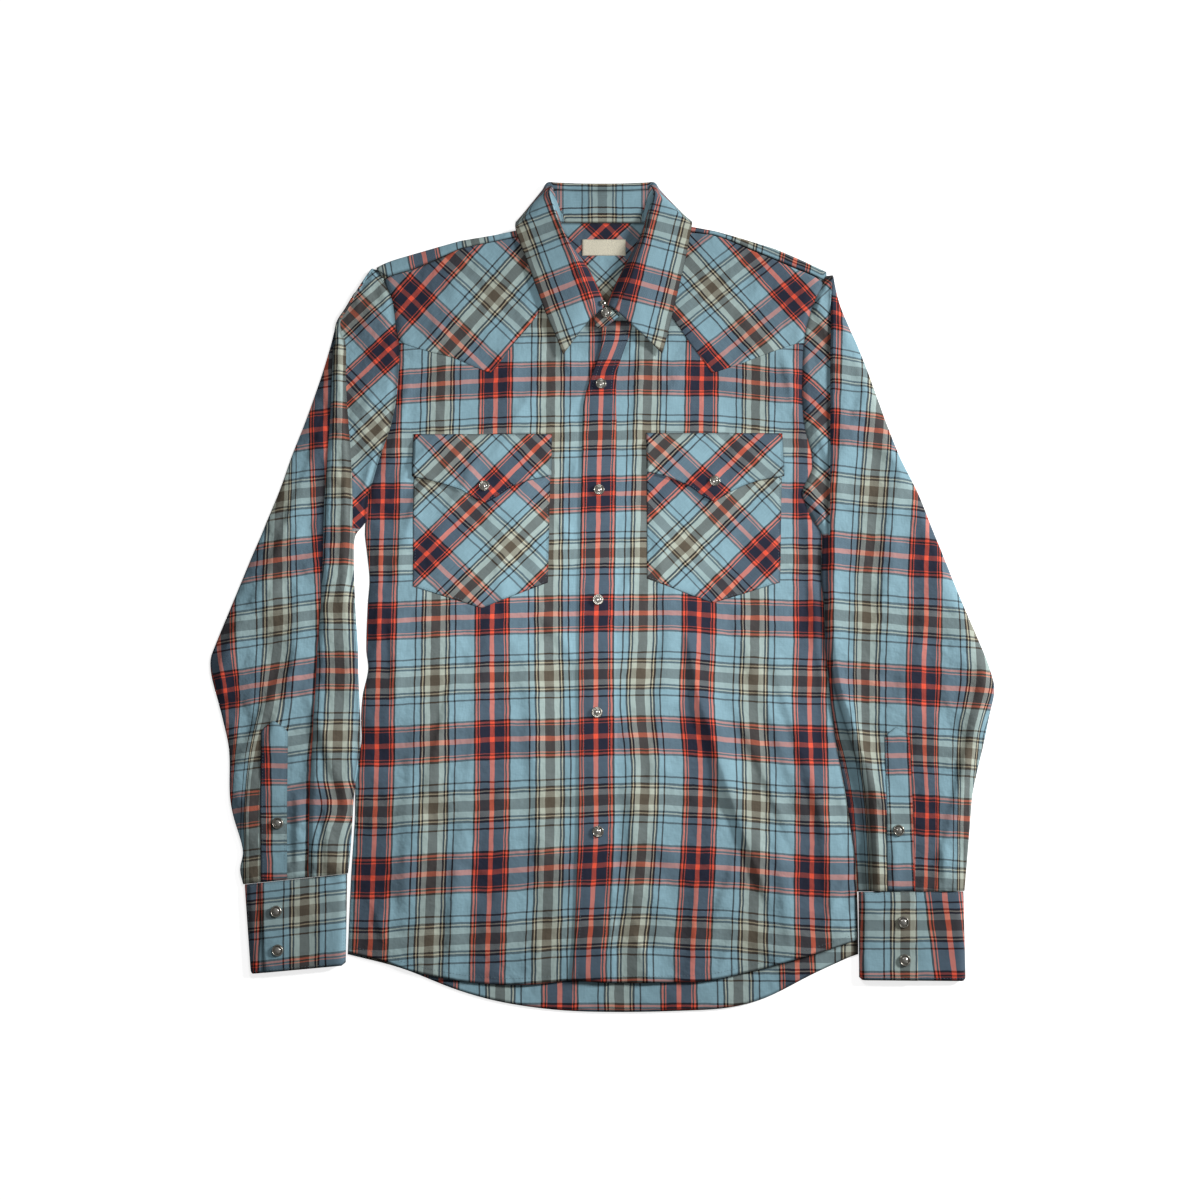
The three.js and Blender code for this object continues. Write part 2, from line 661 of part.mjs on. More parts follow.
// Placket on the right front's edge, from the collar to the hem
const placketRows = frontRowIndexes(LEVELS.indexOf(283));
const placketPlan = placketRows.map((k) => {
  const y = rowLevel(k);
  const x = read(PLACKET_PATH, 'y', 'x', y);
  const half = read(PLACKET_PATH, 'y', 'width', y) / 2;
  return [x - half, x, x + half].map((side) => [side, frontRow(k, side)]);
});
add('placket', sheet(placketPlan, (x, y) => frontUnder(-3, y) + CLOTH + LAP + GAP, CLOTH), NAVY);

// Back: one flat sheet under it all, with the longer shirt-tail hem
function outlineSheet(points, under, wall) {
  const outline = new THREE.Shape(points.map(([x, y]) => new THREE.Vector2(x, y)));
  const body = new THREE.ExtrudeGeometry(outline, { depth: wall, bevelEnabled: false });
  body.translate(0, 0, under);
  return body;
}
const backLevels = [BACK_YOKE_SEAM - GAP, ...LEVELS.filter((y) => y < BACK_YOKE_SEAM)];
const backOutline = [
  ...backLevels.map((y) => [read(BODY_EDGE, 'y', 'left', y), y]),
  ...BACK_HEM.map(({ x, y }) => [x, y]),
  ...[...backLevels].reverse().map((y) => [read(BODY_EDGE, 'y', 'right', y), y]),
];
add('back', outlineSheet(backOutline, 0, CLOTH), SLATE);

// Back yoke: flat underneath, folded over each shoulder to the front yoke's seam
function backYoke() {
  const section = ({ x, edge, seam, under }) => {
    const fold = edge - HOOK.round;
    const end = Math.min(seam, fold - 0.5);
    return [
      [x, under, 0],
      [x, fold, 0],
      [x, edge, HOOK.top / 2],
      [x, fold, HOOK.top],
      [x, end, HOOK.top],
      [x, end, HOOK.under],
      [x, fold, HOOK.under],
      [x, edge - CLOTH, HOOK.top / 2],
      [x, fold, CLOTH],
      [x, under, CLOTH],
    ];
  };
  const plain = ({ x, edge }) => {
    const end = [x, edge, CLOTH];
    return [[x, BACK_YOKE_SEAM, 0], [x, edge, 0], end, end, end, end, end, end, end, [x, BACK_YOKE_SEAM, CLOTH]];
  };
  const rings = [
    ...SHOULDER_LINE.map(section),
    ...NECK_LINE.map(plain),
    ...SHOULDER_LINE_RIGHT.map(section),
  ];
  const skin = new Skin();
  const index = skin.layer(rings.map((ring) => [...ring, ring[0]]), true);
  const first = index[0];
  const last = index[index.length - 1];
  const caps = [[0, 1, 8, 9], [1, 2, 7, 8], [2, 3, 6, 7], [3, 4, 5, 6]];
  caps.forEach((ends) => {
    skin.quad(...ends.map((i) => first[i]));
    skin.quad(...ends.map((i) => last[i]).reverse());
  });
  return skin.geometry();
}
add('back_yoke', backYoke(), SAGE);

// Inner yoke, seen in the open neck, and the bare label sewn on it
const INNER_YOKE = [[-50, 396.5], [-48, 345], [-12, 300], [16, 300], [50, 340], [56, 396.5]];
add('inner_yoke', outlineSheet(INNER_YOKE, CLOTH + GAP, TRIM), NAVY);
const LABEL = { x: 4, y: 375, width: 46, depth: 18, wall: 0.6 };
const label = new THREE.BoxGeometry(LABEL.width, LABEL.depth, LABEL.wall);
add('label', label, CREAM).position.set(LABEL.x, LABEL.y, CLOTH + 2 * GAP + TRIM + LABEL.wall / 2);

// Front yokes, pointed below and laid over the fronts
function frontYoke(side) {
  const sign = side === 'left' ? -1 : 1;
  const upper = LEVELS.filter((y) => y > 270).map((y) => {
    const ends = [read(BODY_EDGE, 'y', side, y), read(YOKE_INNER, 'y', side, y)];
    return { y, ends };
  });
  const lower = YOKE_EDGE.map((row) => ({ y: row.y, ends: [row[`${side}Out`], row[`${side}In`]] }));
  const plan = [...upper, ...lower].map(({ y, ends }) => {
    const [from, to] = sign < 0 ? ends : [ends[1], ends[0]];
    return [0, 0.33, 0.67, 1].map((part) => [mix(from, to, part), y]);
  });
  return sheet(plan, () => TRIM_UNDER, CLOTH);
}
add('front_yoke_left', frontYoke('left'), SAGE);
add('front_yoke_right', frontYoke('right'), SAGE);

// Pockets with one point below, and flaps with one point over them
for (const [side, pocket] of Object.entries(POCKETS)) {
  const pouchTop = pocket.flapTop - POUCH_TOP_DROP;
  const pouch = [0, 0.5, 1].map((down) =>
    pocket.pouch.map(({ top, bottom, y }) => [mix(top, bottom, down), mix(pouchTop, y, down)]),
  );
  add(`pocket_${side}`, sheet(pouch, () => TRIM_UNDER, TRIM), RUST);
  const drops = [
    { down: 0, under: TRIM_UNDER },
    { down: FLAP_STEP_DROP.sewn, under: TRIM_UNDER },
    { down: FLAP_STEP_DROP.over, under: FLAP_UNDER },
  ];
  const flap = [
    ...drops.map(({ down }) => pocket.flap.map(({ x }) => [x, pocket.flapTop - down])),
    pocket.flap.map(({ x, y }) => [x, y]),
  ];
  const heights = [...drops.map(({ under }) => under), FLAP_UNDER];
  add(`pocket_flap_${side}`, sheet(flap, (x, y, j) => heights[j], TRIM), BLUE);
}

// Sleeves: tubes pressed flat, with a lying fold from the shoulder down
function cuffTop(side, x) {
  const { from, to } = CUFFS[side].top;
  return mix(from[1], to[1], (x - from[0]) / (to[0] - from[0]));
}

function sleeve(side) {
  const table = side === 'left' ? SLEEVE_LEFT : SLEEVE_RIGHT;
  const levels = [...LEVELS.filter((y) => y <= table[0].y), 'cuff'];
  const at = (column, y) => read(table, 'y', column, y === 'cuff' ? table[table.length - 1].y : y);
  const shape = levels.map((y) => {
    const height = y === 'cuff' ? LAST_LEVEL : y;
    const raise = FOLD_RAISE * ease((at('inner', y) && 320 - height) / 60) * (height < -60 && side === 'right' ? 0.7 : 1);
    const closed = height < ARMHOLE_END;
    const out = at('out', y);
    const fold = at('fold', y);
    const inner = at('inner', y);
    if (side === 'left') {
      const lap = at('lap', y);
      const xs = [out, out + 5, out + 16, mix(out + 16, lap, 0.5), lap - 0.8, lap + 0.8, mix(lap, fold, 0.5)];
      const rest = [fold - 0.8, fold + 0.8, mix(fold, inner, 0.5), inner];
      const end = closed ? [SLEEVE.flat + 0.6, SLEEVE.slope, SLEEVE.edge] : [SLEEVE.cap, SLEEVE.cap, SLEEVE.cap];
      const zs = [SLEEVE.edge, SLEEVE.slope, SLEEVE.flat, SLEEVE.flat, SLEEVE.flat];
      const high = [SLEEVE.flat + raise, SLEEVE.flat + raise + 0.4, SLEEVE.flat + raise];
      return { y, xs: inOrder([...xs, ...rest]), zs: [...zs, ...high, ...end] };
    }
    const reach = mix(30, 11, ease((40 - height) / 150));
    const xs = [inner, mix(inner, fold, 0.5), fold - 0.8, fold + 0.8, fold + reach / 2, fold + reach];
    const rest = [mix(fold + reach, out - 16, 0.5), out - 16, out - 5, out];
    const zs = [closed ? SLEEVE.edge : SLEEVE.cap, SLEEVE.cap, SLEEVE.cap, SLEEVE.flat + raise];
    const slope = [SLEEVE.flat + raise * 0.65, SLEEVE.flat, SLEEVE.flat, SLEEVE.flat, SLEEVE.slope, SLEEVE.edge];
    return { y, xs: inOrder([...xs, ...rest]), zs: [...zs, ...slope] };
  });
  const level = (y, x) => (y === 'cuff' ? cuffTop(side, x) + GAP : y);
  const outerPlan = shape.map(({ y, xs }) => xs.map((x) => [x, level(y, x)]));
  const innerPlan = shape.map(({ y, xs }, j) => {
    const last = xs.length - 1;
    const inset = Math.min(CLOTH, (xs[last] - xs[0]) / 4);
    const closedInner = y === 'cuff' || y < ARMHOLE_END + 1;
    const low = side === 'left' || closedInner ? xs[0] + inset : xs[0];
    const high = side === 'right' || closedInner ? xs[last] - inset : xs[last];
    const kept = xs.map((x) => Math.min(Math.max(x, low), high));
    return inOrder(kept).map((x) => [x, level(y, x) - (j === 0 ? CLOTH : 0)]);
  });
  const armholeSide = side === 'left' ? 'right' : 'left';
  return pressedTube({
    outerPlan,
    innerPlan,
    top: (j, i) => shape[j].zs[i],
    hollowTop: (j, i) => Math.min(shape[j].zs[i] - CLOTH, SLEEVE.hollowTop),
    wall: CLOTH,
    isOpen: ({ side: edge, row }) => edge === 'bottom' || (edge === armholeSide && levels[row] > ARMHOLE_END),
  });
}
add('sleeve_left', sleeve('left'), BLUE);
add('sleeve_right', sleeve('right'), BLUE);

for (const [side, strip] of Object.entries(SLEEVE_PLACKETS)) {
  const plan = strip.map(({ y, from, to }) => [0, 0.5, 1].map((part) => [mix(from, to, part), y]));
  add(`sleeve_placket_${side}`, sheet(plan, () => SLEEVE.flat + GAP, TRIM), NAVY);
}

// Cuffs: stiff bands pressed flat, one end lapped over the other under the snaps
function cuff({ top, bottom, lap, lapSide }) {
  const parts = inOrder([0, 0.06, lap - 0.006, lap + 0.006, 0.94, 1].map((part) => part * 100)).map((p) => p / 100);
  const lifted = (i) => (lapSide === 'above' ? i >= 3 : i <= 2);
  const edge = ({ from, to }, part) => [mix(from[0], to[0], part), mix(from[1], to[1], part)];
  const row = (down) =>
    parts.map((part) => {
      const a = edge(top, part);
      const b = edge(bottom, part);
      return [mix(a[0], b[0], down), mix(a[1], b[1], down)];
    });
  const outerPlan = [0, 0.5, 1].map(row);
  const last = parts.length - 1;
  const innerPlan = outerPlan.map((line) => {
    const low = line[0][0] + CUFF_WALL;
    const high = line[last][0] - CUFF_WALL;
    return line.map(([x, y]) => [Math.min(Math.max(x, low), high), y]);
  });
  const height = (j, i) => {
    const atEdge = i === 0 || i === last;
    return (atEdge ? CUFF.edge : CUFF.flat) + (lifted(i) ? CUFF.lap : 0);
  };
  return pressedTube({
    outerPlan,
    innerPlan,
    top: height,
    hollowTop: (j, i) => (i === 0 || i === last ? CUFF.edge - CUFF_WALL : CUFF.hollowTop),
    wall: CUFF_WALL,
    isOpen: ({ side }) => side === 'top' || side === 'bottom',
  });
}
add('cuff_left', cuff(CUFFS.left), SAGE);
add('cuff_right', cuff(CUFFS.right), SAGE);

// Collar band and leaf, both from the collar's sections
function collarSection({ neck, fold, edge, under }, i) {
  const before = COLLAR[Math.max(i - 1, 0)].fold;
  const after = COLLAR[Math.min(i + 1, COLLAR.length - 1)].fold;
  const along = new THREE.Vector2(after[0] - before[0], after[1] - before[1]).normalize();
  const rise = mix(FOLD_TURN.sideRise, FOLD_TURN.backRise, under);
  const inward = (reach) => [fold[0] + along.y * reach, fold[1] - along.x * reach, fold[2] + rise];
  const reach = mix(FOLD_TURN.side, FOLD_TURN.back, under * under);
  return { neck, seam: inward(reach), bandTop: inward(reach + FOLD_TURN.bandGap), fold, edge, under };
}
const sections = COLLAR.map(collarSection);
const between = (a, b, part) => a.map((value, n) => mix(value, b[n], part));

function collarBand() {
  const bow = ({ neck, bandTop, under }, part) => {
    const [x, y, z] = between(neck, bandTop, part);
    return [x, y, z + 1.2 * (1 - under) * Math.sin(Math.PI * part)];
  };
  return curvedSheet(sections.map((section) => [0, 0.5, 1].map((part) => bow(section, part))), BAND_WALL);
}
add('collar_band', collarBand(), NAVY);

function collarLeaf() {
  const line = ({ seam, fold, edge, under }) => {
    const shoulder = between(fold, edge, 0.12);
    shoulder[2] = mix(shoulder[2], 0.7, under * under);
    const middle = between(fold, edge, 0.5);
    middle[2] = mix(middle[2] + 0.6, 0.6, under * under);
    return [seam, fold, shoulder, middle, edge];
  };
  return curvedSheet(sections.map(line), CLOTH);
}
add('collar_leaf', collarLeaf(), SAGE);

function collarTab() {
  const plan = TAB.map(({ top, bottom }) => [top, between(top, bottom, 0.5), bottom]);
  return sheet(plan, () => TAB_LEVEL - BAND_WALL / 2, BAND_WALL);
}
add('collar_tab', collarTab(), SAGE);

// Snaps: a low dome in a rolled ring
function snapCap({ radius, height, sides }) {
  const profile = [
    [0, 0],
    [radius * 0.96, 0],
    [radius, height * 0.24],
    [radius * 0.9, height * 0.5],
    [radius * 0.76, height * 0.42],
    [radius * 0.55, height * 0.82],
    [0, height],
  ];
  const points = profile.map(([x, y]) => new THREE.Vector2(x, y));
  const turned = new THREE.LatheGeometry(points, sides);
  turned.rotateX(Math.PI / 2);
  return turned;
}
const addSnap = (name, [x, y], level, size = SNAP) => {
  add(name, snapCap(size), STEEL, 0.3, 0.9).position.set(x, y, level + GAP);
};
SNAPS.placket.forEach(([x, y], i) => addSnap(`snap_placket_${i + 1}`, [x, y], PLACKET_TOP + foldHeight(-3, y)));
addSnap('snap_collar', [6.4, 299], TAB_LEVEL + BAND_WALL / 2);
addSnap('snap_pocket_left', [-117, 116], FLAP_UNDER + TRIM);
addSnap('snap_pocket_right', [116, 121], FLAP_UNDER + TRIM);
addSnap('snap_sleeve_left', [-311, -220], SLEEVE.flat + GAP + TRIM);
addSnap('snap_sleeve_right', [288, -227], SLEEVE.flat + GAP + TRIM);
SNAPS.cuffLeft.forEach(([x, y], i) => addSnap(`snap_cuff_left_${i + 1}`, [x, y], CUFF.flat + CUFF.lap));
SNAPS.cuffRight.forEach(([x, y], i) => addSnap(`snap_cuff_right_${i + 1}`, [x, y], CUFF.flat + CUFF.lap));

export default shirt;
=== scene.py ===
import math
import bpy
import numpy as np
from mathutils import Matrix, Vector


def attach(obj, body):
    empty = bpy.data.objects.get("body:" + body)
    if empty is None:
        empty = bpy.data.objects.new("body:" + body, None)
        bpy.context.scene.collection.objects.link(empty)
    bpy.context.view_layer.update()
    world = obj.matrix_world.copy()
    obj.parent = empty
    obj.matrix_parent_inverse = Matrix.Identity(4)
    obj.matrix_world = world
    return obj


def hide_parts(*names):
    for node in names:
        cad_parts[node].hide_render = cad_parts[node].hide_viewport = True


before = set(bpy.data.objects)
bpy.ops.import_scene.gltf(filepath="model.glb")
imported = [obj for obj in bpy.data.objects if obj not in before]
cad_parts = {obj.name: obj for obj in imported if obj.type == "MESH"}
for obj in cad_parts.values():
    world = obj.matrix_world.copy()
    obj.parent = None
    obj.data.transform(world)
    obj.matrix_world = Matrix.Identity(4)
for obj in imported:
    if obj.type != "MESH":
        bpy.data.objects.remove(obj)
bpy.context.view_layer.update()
print("frame loaded")

# all tables are in millimetres on the flat surface; the shirt is centred on its own origin when the mesh is made
origin = {"x": 1.5, "y": 25.5}

# camera over the shirt, tipped a little towards the hem
cameraSetup = {"distance": 1.3, "tilt": math.radians(10), "lens": 39.0, "sensor": 36.0}
lookAt = Vector((-origin["x"], -origin["y"], 0.0)) / 1000
cameraData = bpy.data.cameras.new("shirtCamera")
cameraData.lens = cameraSetup["lens"]
cameraData.sensor_width = cameraSetup["sensor"]
camera = bpy.data.objects.new("shirtCamera", cameraData)
bpy.context.collection.objects.link(camera)
reach = Vector((0, -math.sin(cameraSetup["tilt"]), math.cos(cameraSetup["tilt"]))) * cameraSetup["distance"]
camera.location = lookAt + reach
camera.rotation_euler = (cameraSetup["tilt"], 0, 0)
bpy.context.scene.camera = camera

# a low soft window from the right, a small lamp close over the chest, and a pale room round them
lighting = {
    "rightWindow": {"place": (2.30, 0.75, 1.05), "size": 0.50, "power": 74.0},
    "overChest": {"place": (-0.02, 0.0, 0.43), "size": 0.20, "power": 1.14},
    "room": 0.11,
}
for name in ("overChest", "rightWindow"):
    lampData = bpy.data.lights.new(name, "AREA")
    lampData.shape = "DISK"
    lampData.size = lighting[name]["size"]
    lampData.energy = lighting[name]["power"]
    lamp = bpy.data.objects.new(name, lampData)
    lamp.location = lighting[name]["place"]
    aim = Vector((lamp.location.x, lamp.location.y, 0)) if name == "overChest" else Vector((0, 0, 0))
    lamp.rotation_euler = (aim - lamp.location).to_track_quat("-Z", "Y").to_euler()
    bpy.context.collection.objects.link(lamp)
room = bpy.data.worlds.new("paleRoom")
room.use_nodes = True
room.node_tree.nodes["Background"].inputs["Color"].default_value = (1, 1, 1, 1)
room.node_tree.nodes["Background"].inputs["Strength"].default_value = lighting["room"]
bpy.context.scene.world = room
bpy.context.scene.view_settings.view_transform = "Standard"
print("camera and light set")


def display(red, green, blue):
    # a colour read off a screen, made linear
    parts = np.array([red, green, blue]) / 255
    linear = np.where(parts <= 0.04045, parts / 12.92, ((parts + 0.055) / 1.055) ** 2.4)
    return (*linear.tolist(), 1.0)


# the check: half of it from the middle of the orange stripe to the middle of the brown one, then mirrored
yarns = {
    "orange": display(248, 92, 66),
    "navy": display(34, 37, 55),
    "black": display(24, 22, 24),
    "blue": display(139, 175, 188),
    "cream": display(216, 203, 170),
    "sage": display(187, 194, 179),
    "brown": display(93, 84, 71),
}
stripes = [
    ("orange", 2.0), ("navy", 9.7), ("orange", 1.0), ("black", 1.5), ("orange", 1.8), ("black", 1.7), ("blue", 18.0),
    ("black", 1.5), ("blue", 4.7), ("black", 1.8), ("cream", 1.3), ("black", 1.6), ("sage", 5.1), ("brown", 4.8),
]
halfCheck = sum(width for _, width in stripes)


class NodeGroup:
    # a node tree with short calls for adding and joining nodes
    def __init__(self, tree):
        self.tree = tree

    def add(self, kind, **values):
        node = self.tree.nodes.new(kind)
        for name, value in values.items():
            setattr(node, name, value)
        return node

    def join(self, source, target):
        self.tree.links.new(source, target)

    def maths(self, operation, first, second=None):
        node = self.add("ShaderNodeMath", operation=operation)
        for socket, value in zip(node.inputs, (first, second)):
            if value is None:
                continue
            if isinstance(value, (int, float)):
                socket.default_value = value
            else:
                self.join(value, socket)
        return node.outputs[0]


def checkGroup():
    # stripes across warp and weft from the place on the cloth, then crossed thread by thread
    tree = bpy.data.node_groups.new("wovenCheck", "ShaderNodeTree")
    face = tree.interface
    face.new_socket("Place", in_out="INPUT", socket_type="NodeSocketVector")
    face.new_socket("Threads", in_out="INPUT", socket_type="NodeSocketFloat").default_value = 150
    face.new_socket("Colour", in_out="OUTPUT", socket_type="NodeSocketColor")
    face.new_socket("Height", in_out="OUTPUT", socket_type="NodeSocketFloat")
    group = NodeGroup(tree)
    inside = group.add("NodeGroupInput")
    outside = group.add("NodeGroupOutput")
    sway = group.add("ShaderNodeTexNoise", noise_dimensions="2D")
    sway.inputs["Scale"].default_value = 7.0
    group.join(inside.outputs["Place"], sway.inputs["Vector"])
    split = group.add("ShaderNodeSeparateXYZ")
    group.join(inside.outputs["Place"], split.inputs[0])
    swaySplit = group.add("ShaderNodeSeparateColor")
    group.join(sway.outputs["Color"], swaySplit.inputs[0])
    colours = []
    for axis in range(2):
        offset = group.maths("MULTIPLY", group.maths("SUBTRACT", swaySplit.outputs[axis], 0.5), 0.012)
        place = group.maths("ADD", split.outputs[axis], offset)
        folded = group.maths("MULTIPLY", group.maths("PINGPONG", place, 0.5), 2.0)
        ramp = group.add("ShaderNodeValToRGB")
        ramp.color_ramp.interpolation = "CONSTANT"
        start = 0.0
        for index, (yarn, width) in enumerate(stripes):
            stop = ramp.color_ramp.elements[0] if index == 0 else ramp.color_ramp.elements.new(start / halfCheck)
            stop.color = (*[part ** (1 / 2.2) for part in yarns[yarn][:3]], 1)
            start += width
        last = ramp.color_ramp.elements[len(ramp.color_ramp.elements) - 1]
        last.color = stop.color
        group.join(folded, ramp.inputs[0])
        # uneven thickness along each thread
        stretch = group.add("ShaderNodeMapping")
        stretch.inputs["Scale"].default_value = (260, 9, 1) if axis == 0 else (9, 260, 1)
        group.join(inside.outputs["Place"], stretch.inputs["Vector"])
        slub = group.add("ShaderNodeTexNoise", noise_dimensions="2D")
        slub.inputs["Scale"].default_value = 1.0
        group.join(stretch.outputs[0], slub.inputs["Vector"])
        lift = group.maths("ADD", group.maths("MULTIPLY", slub.outputs["Fac"], 0.24), 0.88)
        tint = group.add("ShaderNodeMix", data_type="RGBA", blend_type="MULTIPLY")
        tint.inputs["Factor"].default_value = 1.0
        group.join(ramp.outputs["Color"], tint.inputs["A"])
        group.join(lift, tint.inputs["B"])
        colours.append(tint.outputs["Result"])
    waves = []
    for axis in range(2):
        turns = group.maths("MULTIPLY", group.maths("MULTIPLY", split.outputs[axis], inside.outputs["Threads"]), math.pi)
        waves.append(group.maths("SINE", turns))
    crossed = group.maths("MULTIPLY", waves[0], waves[1])
    over = group.maths("ADD", group.maths("MULTIPLY", crossed, 0.2), 0.41)
    cloth = group.add("ShaderNodeMix", data_type="RGBA")
    group.join(over, cloth.inputs["Factor"])
    group.join(colours[0], cloth.inputs["A"])
    group.join(colours[1], cloth.inputs["B"])
    # the threads are mixed by eye, in screen values, and made linear after
    linear = group.add("ShaderNodeGamma")
    linear.inputs["Gamma"].default_value = 2.2
    group.join(cloth.outputs["Result"], linear.inputs["Color"])
    group.join(linear.outputs["Color"], outside.inputs["Colour"])
    group.join(over, outside.inputs["Height"])
    return tree


wovenCheck = checkGroup()


def clothMaterial(name, rumple=0.35, threads=150):
    # matt cotton: the check, a fine thread relief and a soft handled surface
    material = bpy.data.materials.new(name)
    material.use_nodes = True
    tree = NodeGroup(material.node_tree)
    shader = material.node_tree.nodes["Principled BSDF"]
    shader.inputs["Roughness"].default_value = 0.88
    shader.inputs["Specular IOR Level"].default_value = 0.25
    shader.inputs["Sheen Weight"].default_value = 0.08
    shader.inputs["Sheen Roughness"].default_value = 0.5
    place = tree.add("ShaderNodeUVMap", uv_map="cloth")
    check = tree.add("ShaderNodeGroup", node_tree=wovenCheck)
    check.inputs["Threads"].default_value = threads
    tree.join(place.outputs[0], check.inputs["Place"])
    # painted shade: sewn, folded and lapped edges and the hollows beside them are darkened where shade falls along them
    paintedShade = tree.add("ShaderNodeAttribute", attribute_name="paintedSeamShade")
    tint = tree.add("ShaderNodeMix", data_type="RGBA", blend_type="MULTIPLY")
    tint.inputs["Factor"].default_value = 1.0
    tree.join(check.outputs["Colour"], tint.inputs["A"])
    tree.join(tree.maths("SUBTRACT", 1.0, tree.maths("MULTIPLY", paintedShade.outputs["Fac"], 0.62)), tint.inputs["B"])
    tree.join(tint.outputs["Result"], shader.inputs["Base Color"])
    thread = tree.add("ShaderNodeBump")
    thread.inputs["Strength"].default_value = 0.25
    thread.inputs["Distance"].default_value = 0.0002
    tree.join(check.outputs["Height"], thread.inputs["Height"])
    body = tree.add("ShaderNodeTexCoord")
    crumple = tree.add("ShaderNodeTexNoise")
    crumple.inputs["Scale"].default_value = 55
    crumple.inputs["Detail"].default_value = 3
    crumple.inputs["Roughness"].default_value = 0.55
    tree.join(body.outputs["Object"], crumple.inputs["Vector"])
    soft = tree.add("ShaderNodeBump")
    soft.inputs["Strength"].default_value = rumple
    soft.inputs["Distance"].default_value = 0.003
    tree.join(crumple.outputs["Fac"], soft.inputs["Height"])
    tree.join(thread.outputs[0], soft.inputs["Normal"])
    wave = tree.add("ShaderNodeTexNoise")
    wave.inputs["Scale"].default_value = 19
    wave.inputs["Detail"].default_value = 1.5
    wave.inputs["Distortion"].default_value = 0.6
    tree.join(body.outputs["Object"], wave.inputs["Vector"])
    broad = tree.add("ShaderNodeBump")
    broad.inputs["Strength"].default_value = rumple
    broad.inputs["Distance"].default_value = 0.010
    tree.join(wave.outputs["Fac"], broad.inputs["Height"])
    tree.join(soft.outputs[0], broad.inputs["Normal"])
    tree.join(broad.outputs[0], shader.inputs["Normal"])
    return material


def plainMaterial(name, colour, roughness, metallic=0.0, coat=0.0, grain=400, grainDepth=0.0001):
    # one colour, broken up by a fine grain in tone and relief
    material = bpy.data.materials.new(name)
    material.use_nodes = True
    tree = NodeGroup(material.node_tree)
    shader = material.node_tree.nodes["Principled BSDF"]
    shader.inputs["Roughness"].default_value = roughness
    shader.inputs["Metallic"].default_value = metallic
    shader.inputs["Coat Weight"].default_value = coat
    shader.inputs["Coat Roughness"].default_value = 0.08
    body = tree.add("ShaderNodeTexCoord")
    noise = tree.add("ShaderNodeTexNoise")
    noise.inputs["Scale"].default_value = grain
    noise.inputs["Detail"].default_value = 2
    tree.join(body.outputs["Object"], noise.inputs["Vector"])
    ramp = tree.add("ShaderNodeValToRGB")
    ramp.color_ramp.elements[0].color = (*[part * 0.8 for part in colour[:3]], 1)
    ramp.color_ramp.elements[1].color = (*[min(part * 1.15, 1) for part in colour[:3]], 1)
    ramp.color_ramp.elements[0].position = 0.3
    ramp.color_ramp.elements[1].position = 0.7
    tree.join(noise.outputs["Fac"], ramp.inputs[0])
    tree.join(ramp.outputs["Color"], shader.inputs["Base Color"])
    bump = tree.add("ShaderNodeBump")
    bump.inputs["Strength"].default_value = 0.3
    bump.inputs["Distance"].default_value = grainDepth
    tree.join(noise.outputs["Fac"], bump.inputs["Height"])
    tree.join(bump.outputs[0], shader.inputs["Normal"])
    return material


materials = {
    "front_plaid": clothMaterial("frontCheck", 0.6),
    "back_plaid": clothMaterial("backCheck", 0.45),
    "sleeve_plaid": clothMaterial("sleeveCheck", 0.75),
    "yoke_plaid": clothMaterial("backYokeCheck", 0.45),
    "bias_plaid": clothMaterial("biasCheck", 0.5),
    "placket_plaid": clothMaterial("placketCheck", 0.4),
    "cuff_plaid": clothMaterial("cuffCheck", 0.4),
    "collar_plaid": clothMaterial("collarCheck", 0.35),
    "label_tape": plainMaterial("labelTape", display(228, 222, 200), 0.8, grain=900),
    "snap_metal": plainMaterial("snapRing", display(168, 165, 156), 0.26, 0.85, grain=200, grainDepth=0.00002),
}
snapPearl = plainMaterial("snapPearl", display(168, 165, 158), 0.16, 0.5, 0.9, 160, 0.00003)
threadMaterial = plainMaterial("sewingThread", display(112, 132, 142), 0.8, grain=1500)
print("materials made")


def smooth(keys, values, place):
    # a smooth curve through the rows of a table: each stretch is a cubic that meets its neighbours' slopes
    keys, values = np.asarray(keys, float), np.asarray(values, float)
    if keys[0] > keys[-1]:
        keys, values = keys[::-1], values[::-1]
    slopes = np.empty_like(values)
    slopes[1:-1] = (values[2:] - values[:-2]) / (keys[2:] - keys[:-2])
    slopes[0] = (values[1] - values[0]) / (keys[1] - keys[0])
    slopes[-1] = (values[-1] - values[-2]) / (keys[-1] - keys[-2])
    place = np.clip(np.asarray(place, float), keys[0], keys[-1])
    at = np.clip(np.searchsorted(keys, place, side="right") - 1, 0, len(keys) - 2)
    step = keys[at + 1] - keys[at]
    t = (place - keys[at]) / step
    rise = values[at + 1] - values[at]
    bend = t * (1 - t) * ((1 - t) * (slopes[at] * step - rise) - t * (slopes[at + 1] * step - rise))
    return values[at] + rise * t + bend


def column(table, key, name):
    rows = table["rows"]
    names = table["columns"]
    return [row[names.index(key)] for row in rows], [row[names.index(name)] for row in rows]


def read(table, name, place, key="y"):
    # a column of a table at any place along its key column
    return smooth(*column(table, key, name), place)


def ease(t):
    held = np.clip(t, 0, 1)
    return held * held * (3 - 2 * held)


def mix(a, b, t):
    return a + (b - a) * t


def ridges(rows, x, y):
    # each row is a soft ridge or trough: a bell across it with its own width on each side, faded at its ends
    total = np.zeros_like(x)
    for cx, cy, angle, length, leftWidth, rightWidth, height in rows:
        turn = math.radians(angle)
        along = (x - cx) * math.cos(turn) + (y - cy) * math.sin(turn)
        across = -(x - cx) * math.sin(turn) + (y - cy) * math.cos(turn)
        width = np.where(across > 0, leftWidth, rightWidth)
        total += height * np.exp(-((across / width) ** 2)) * np.exp(-((along / length) ** 4))
    return total


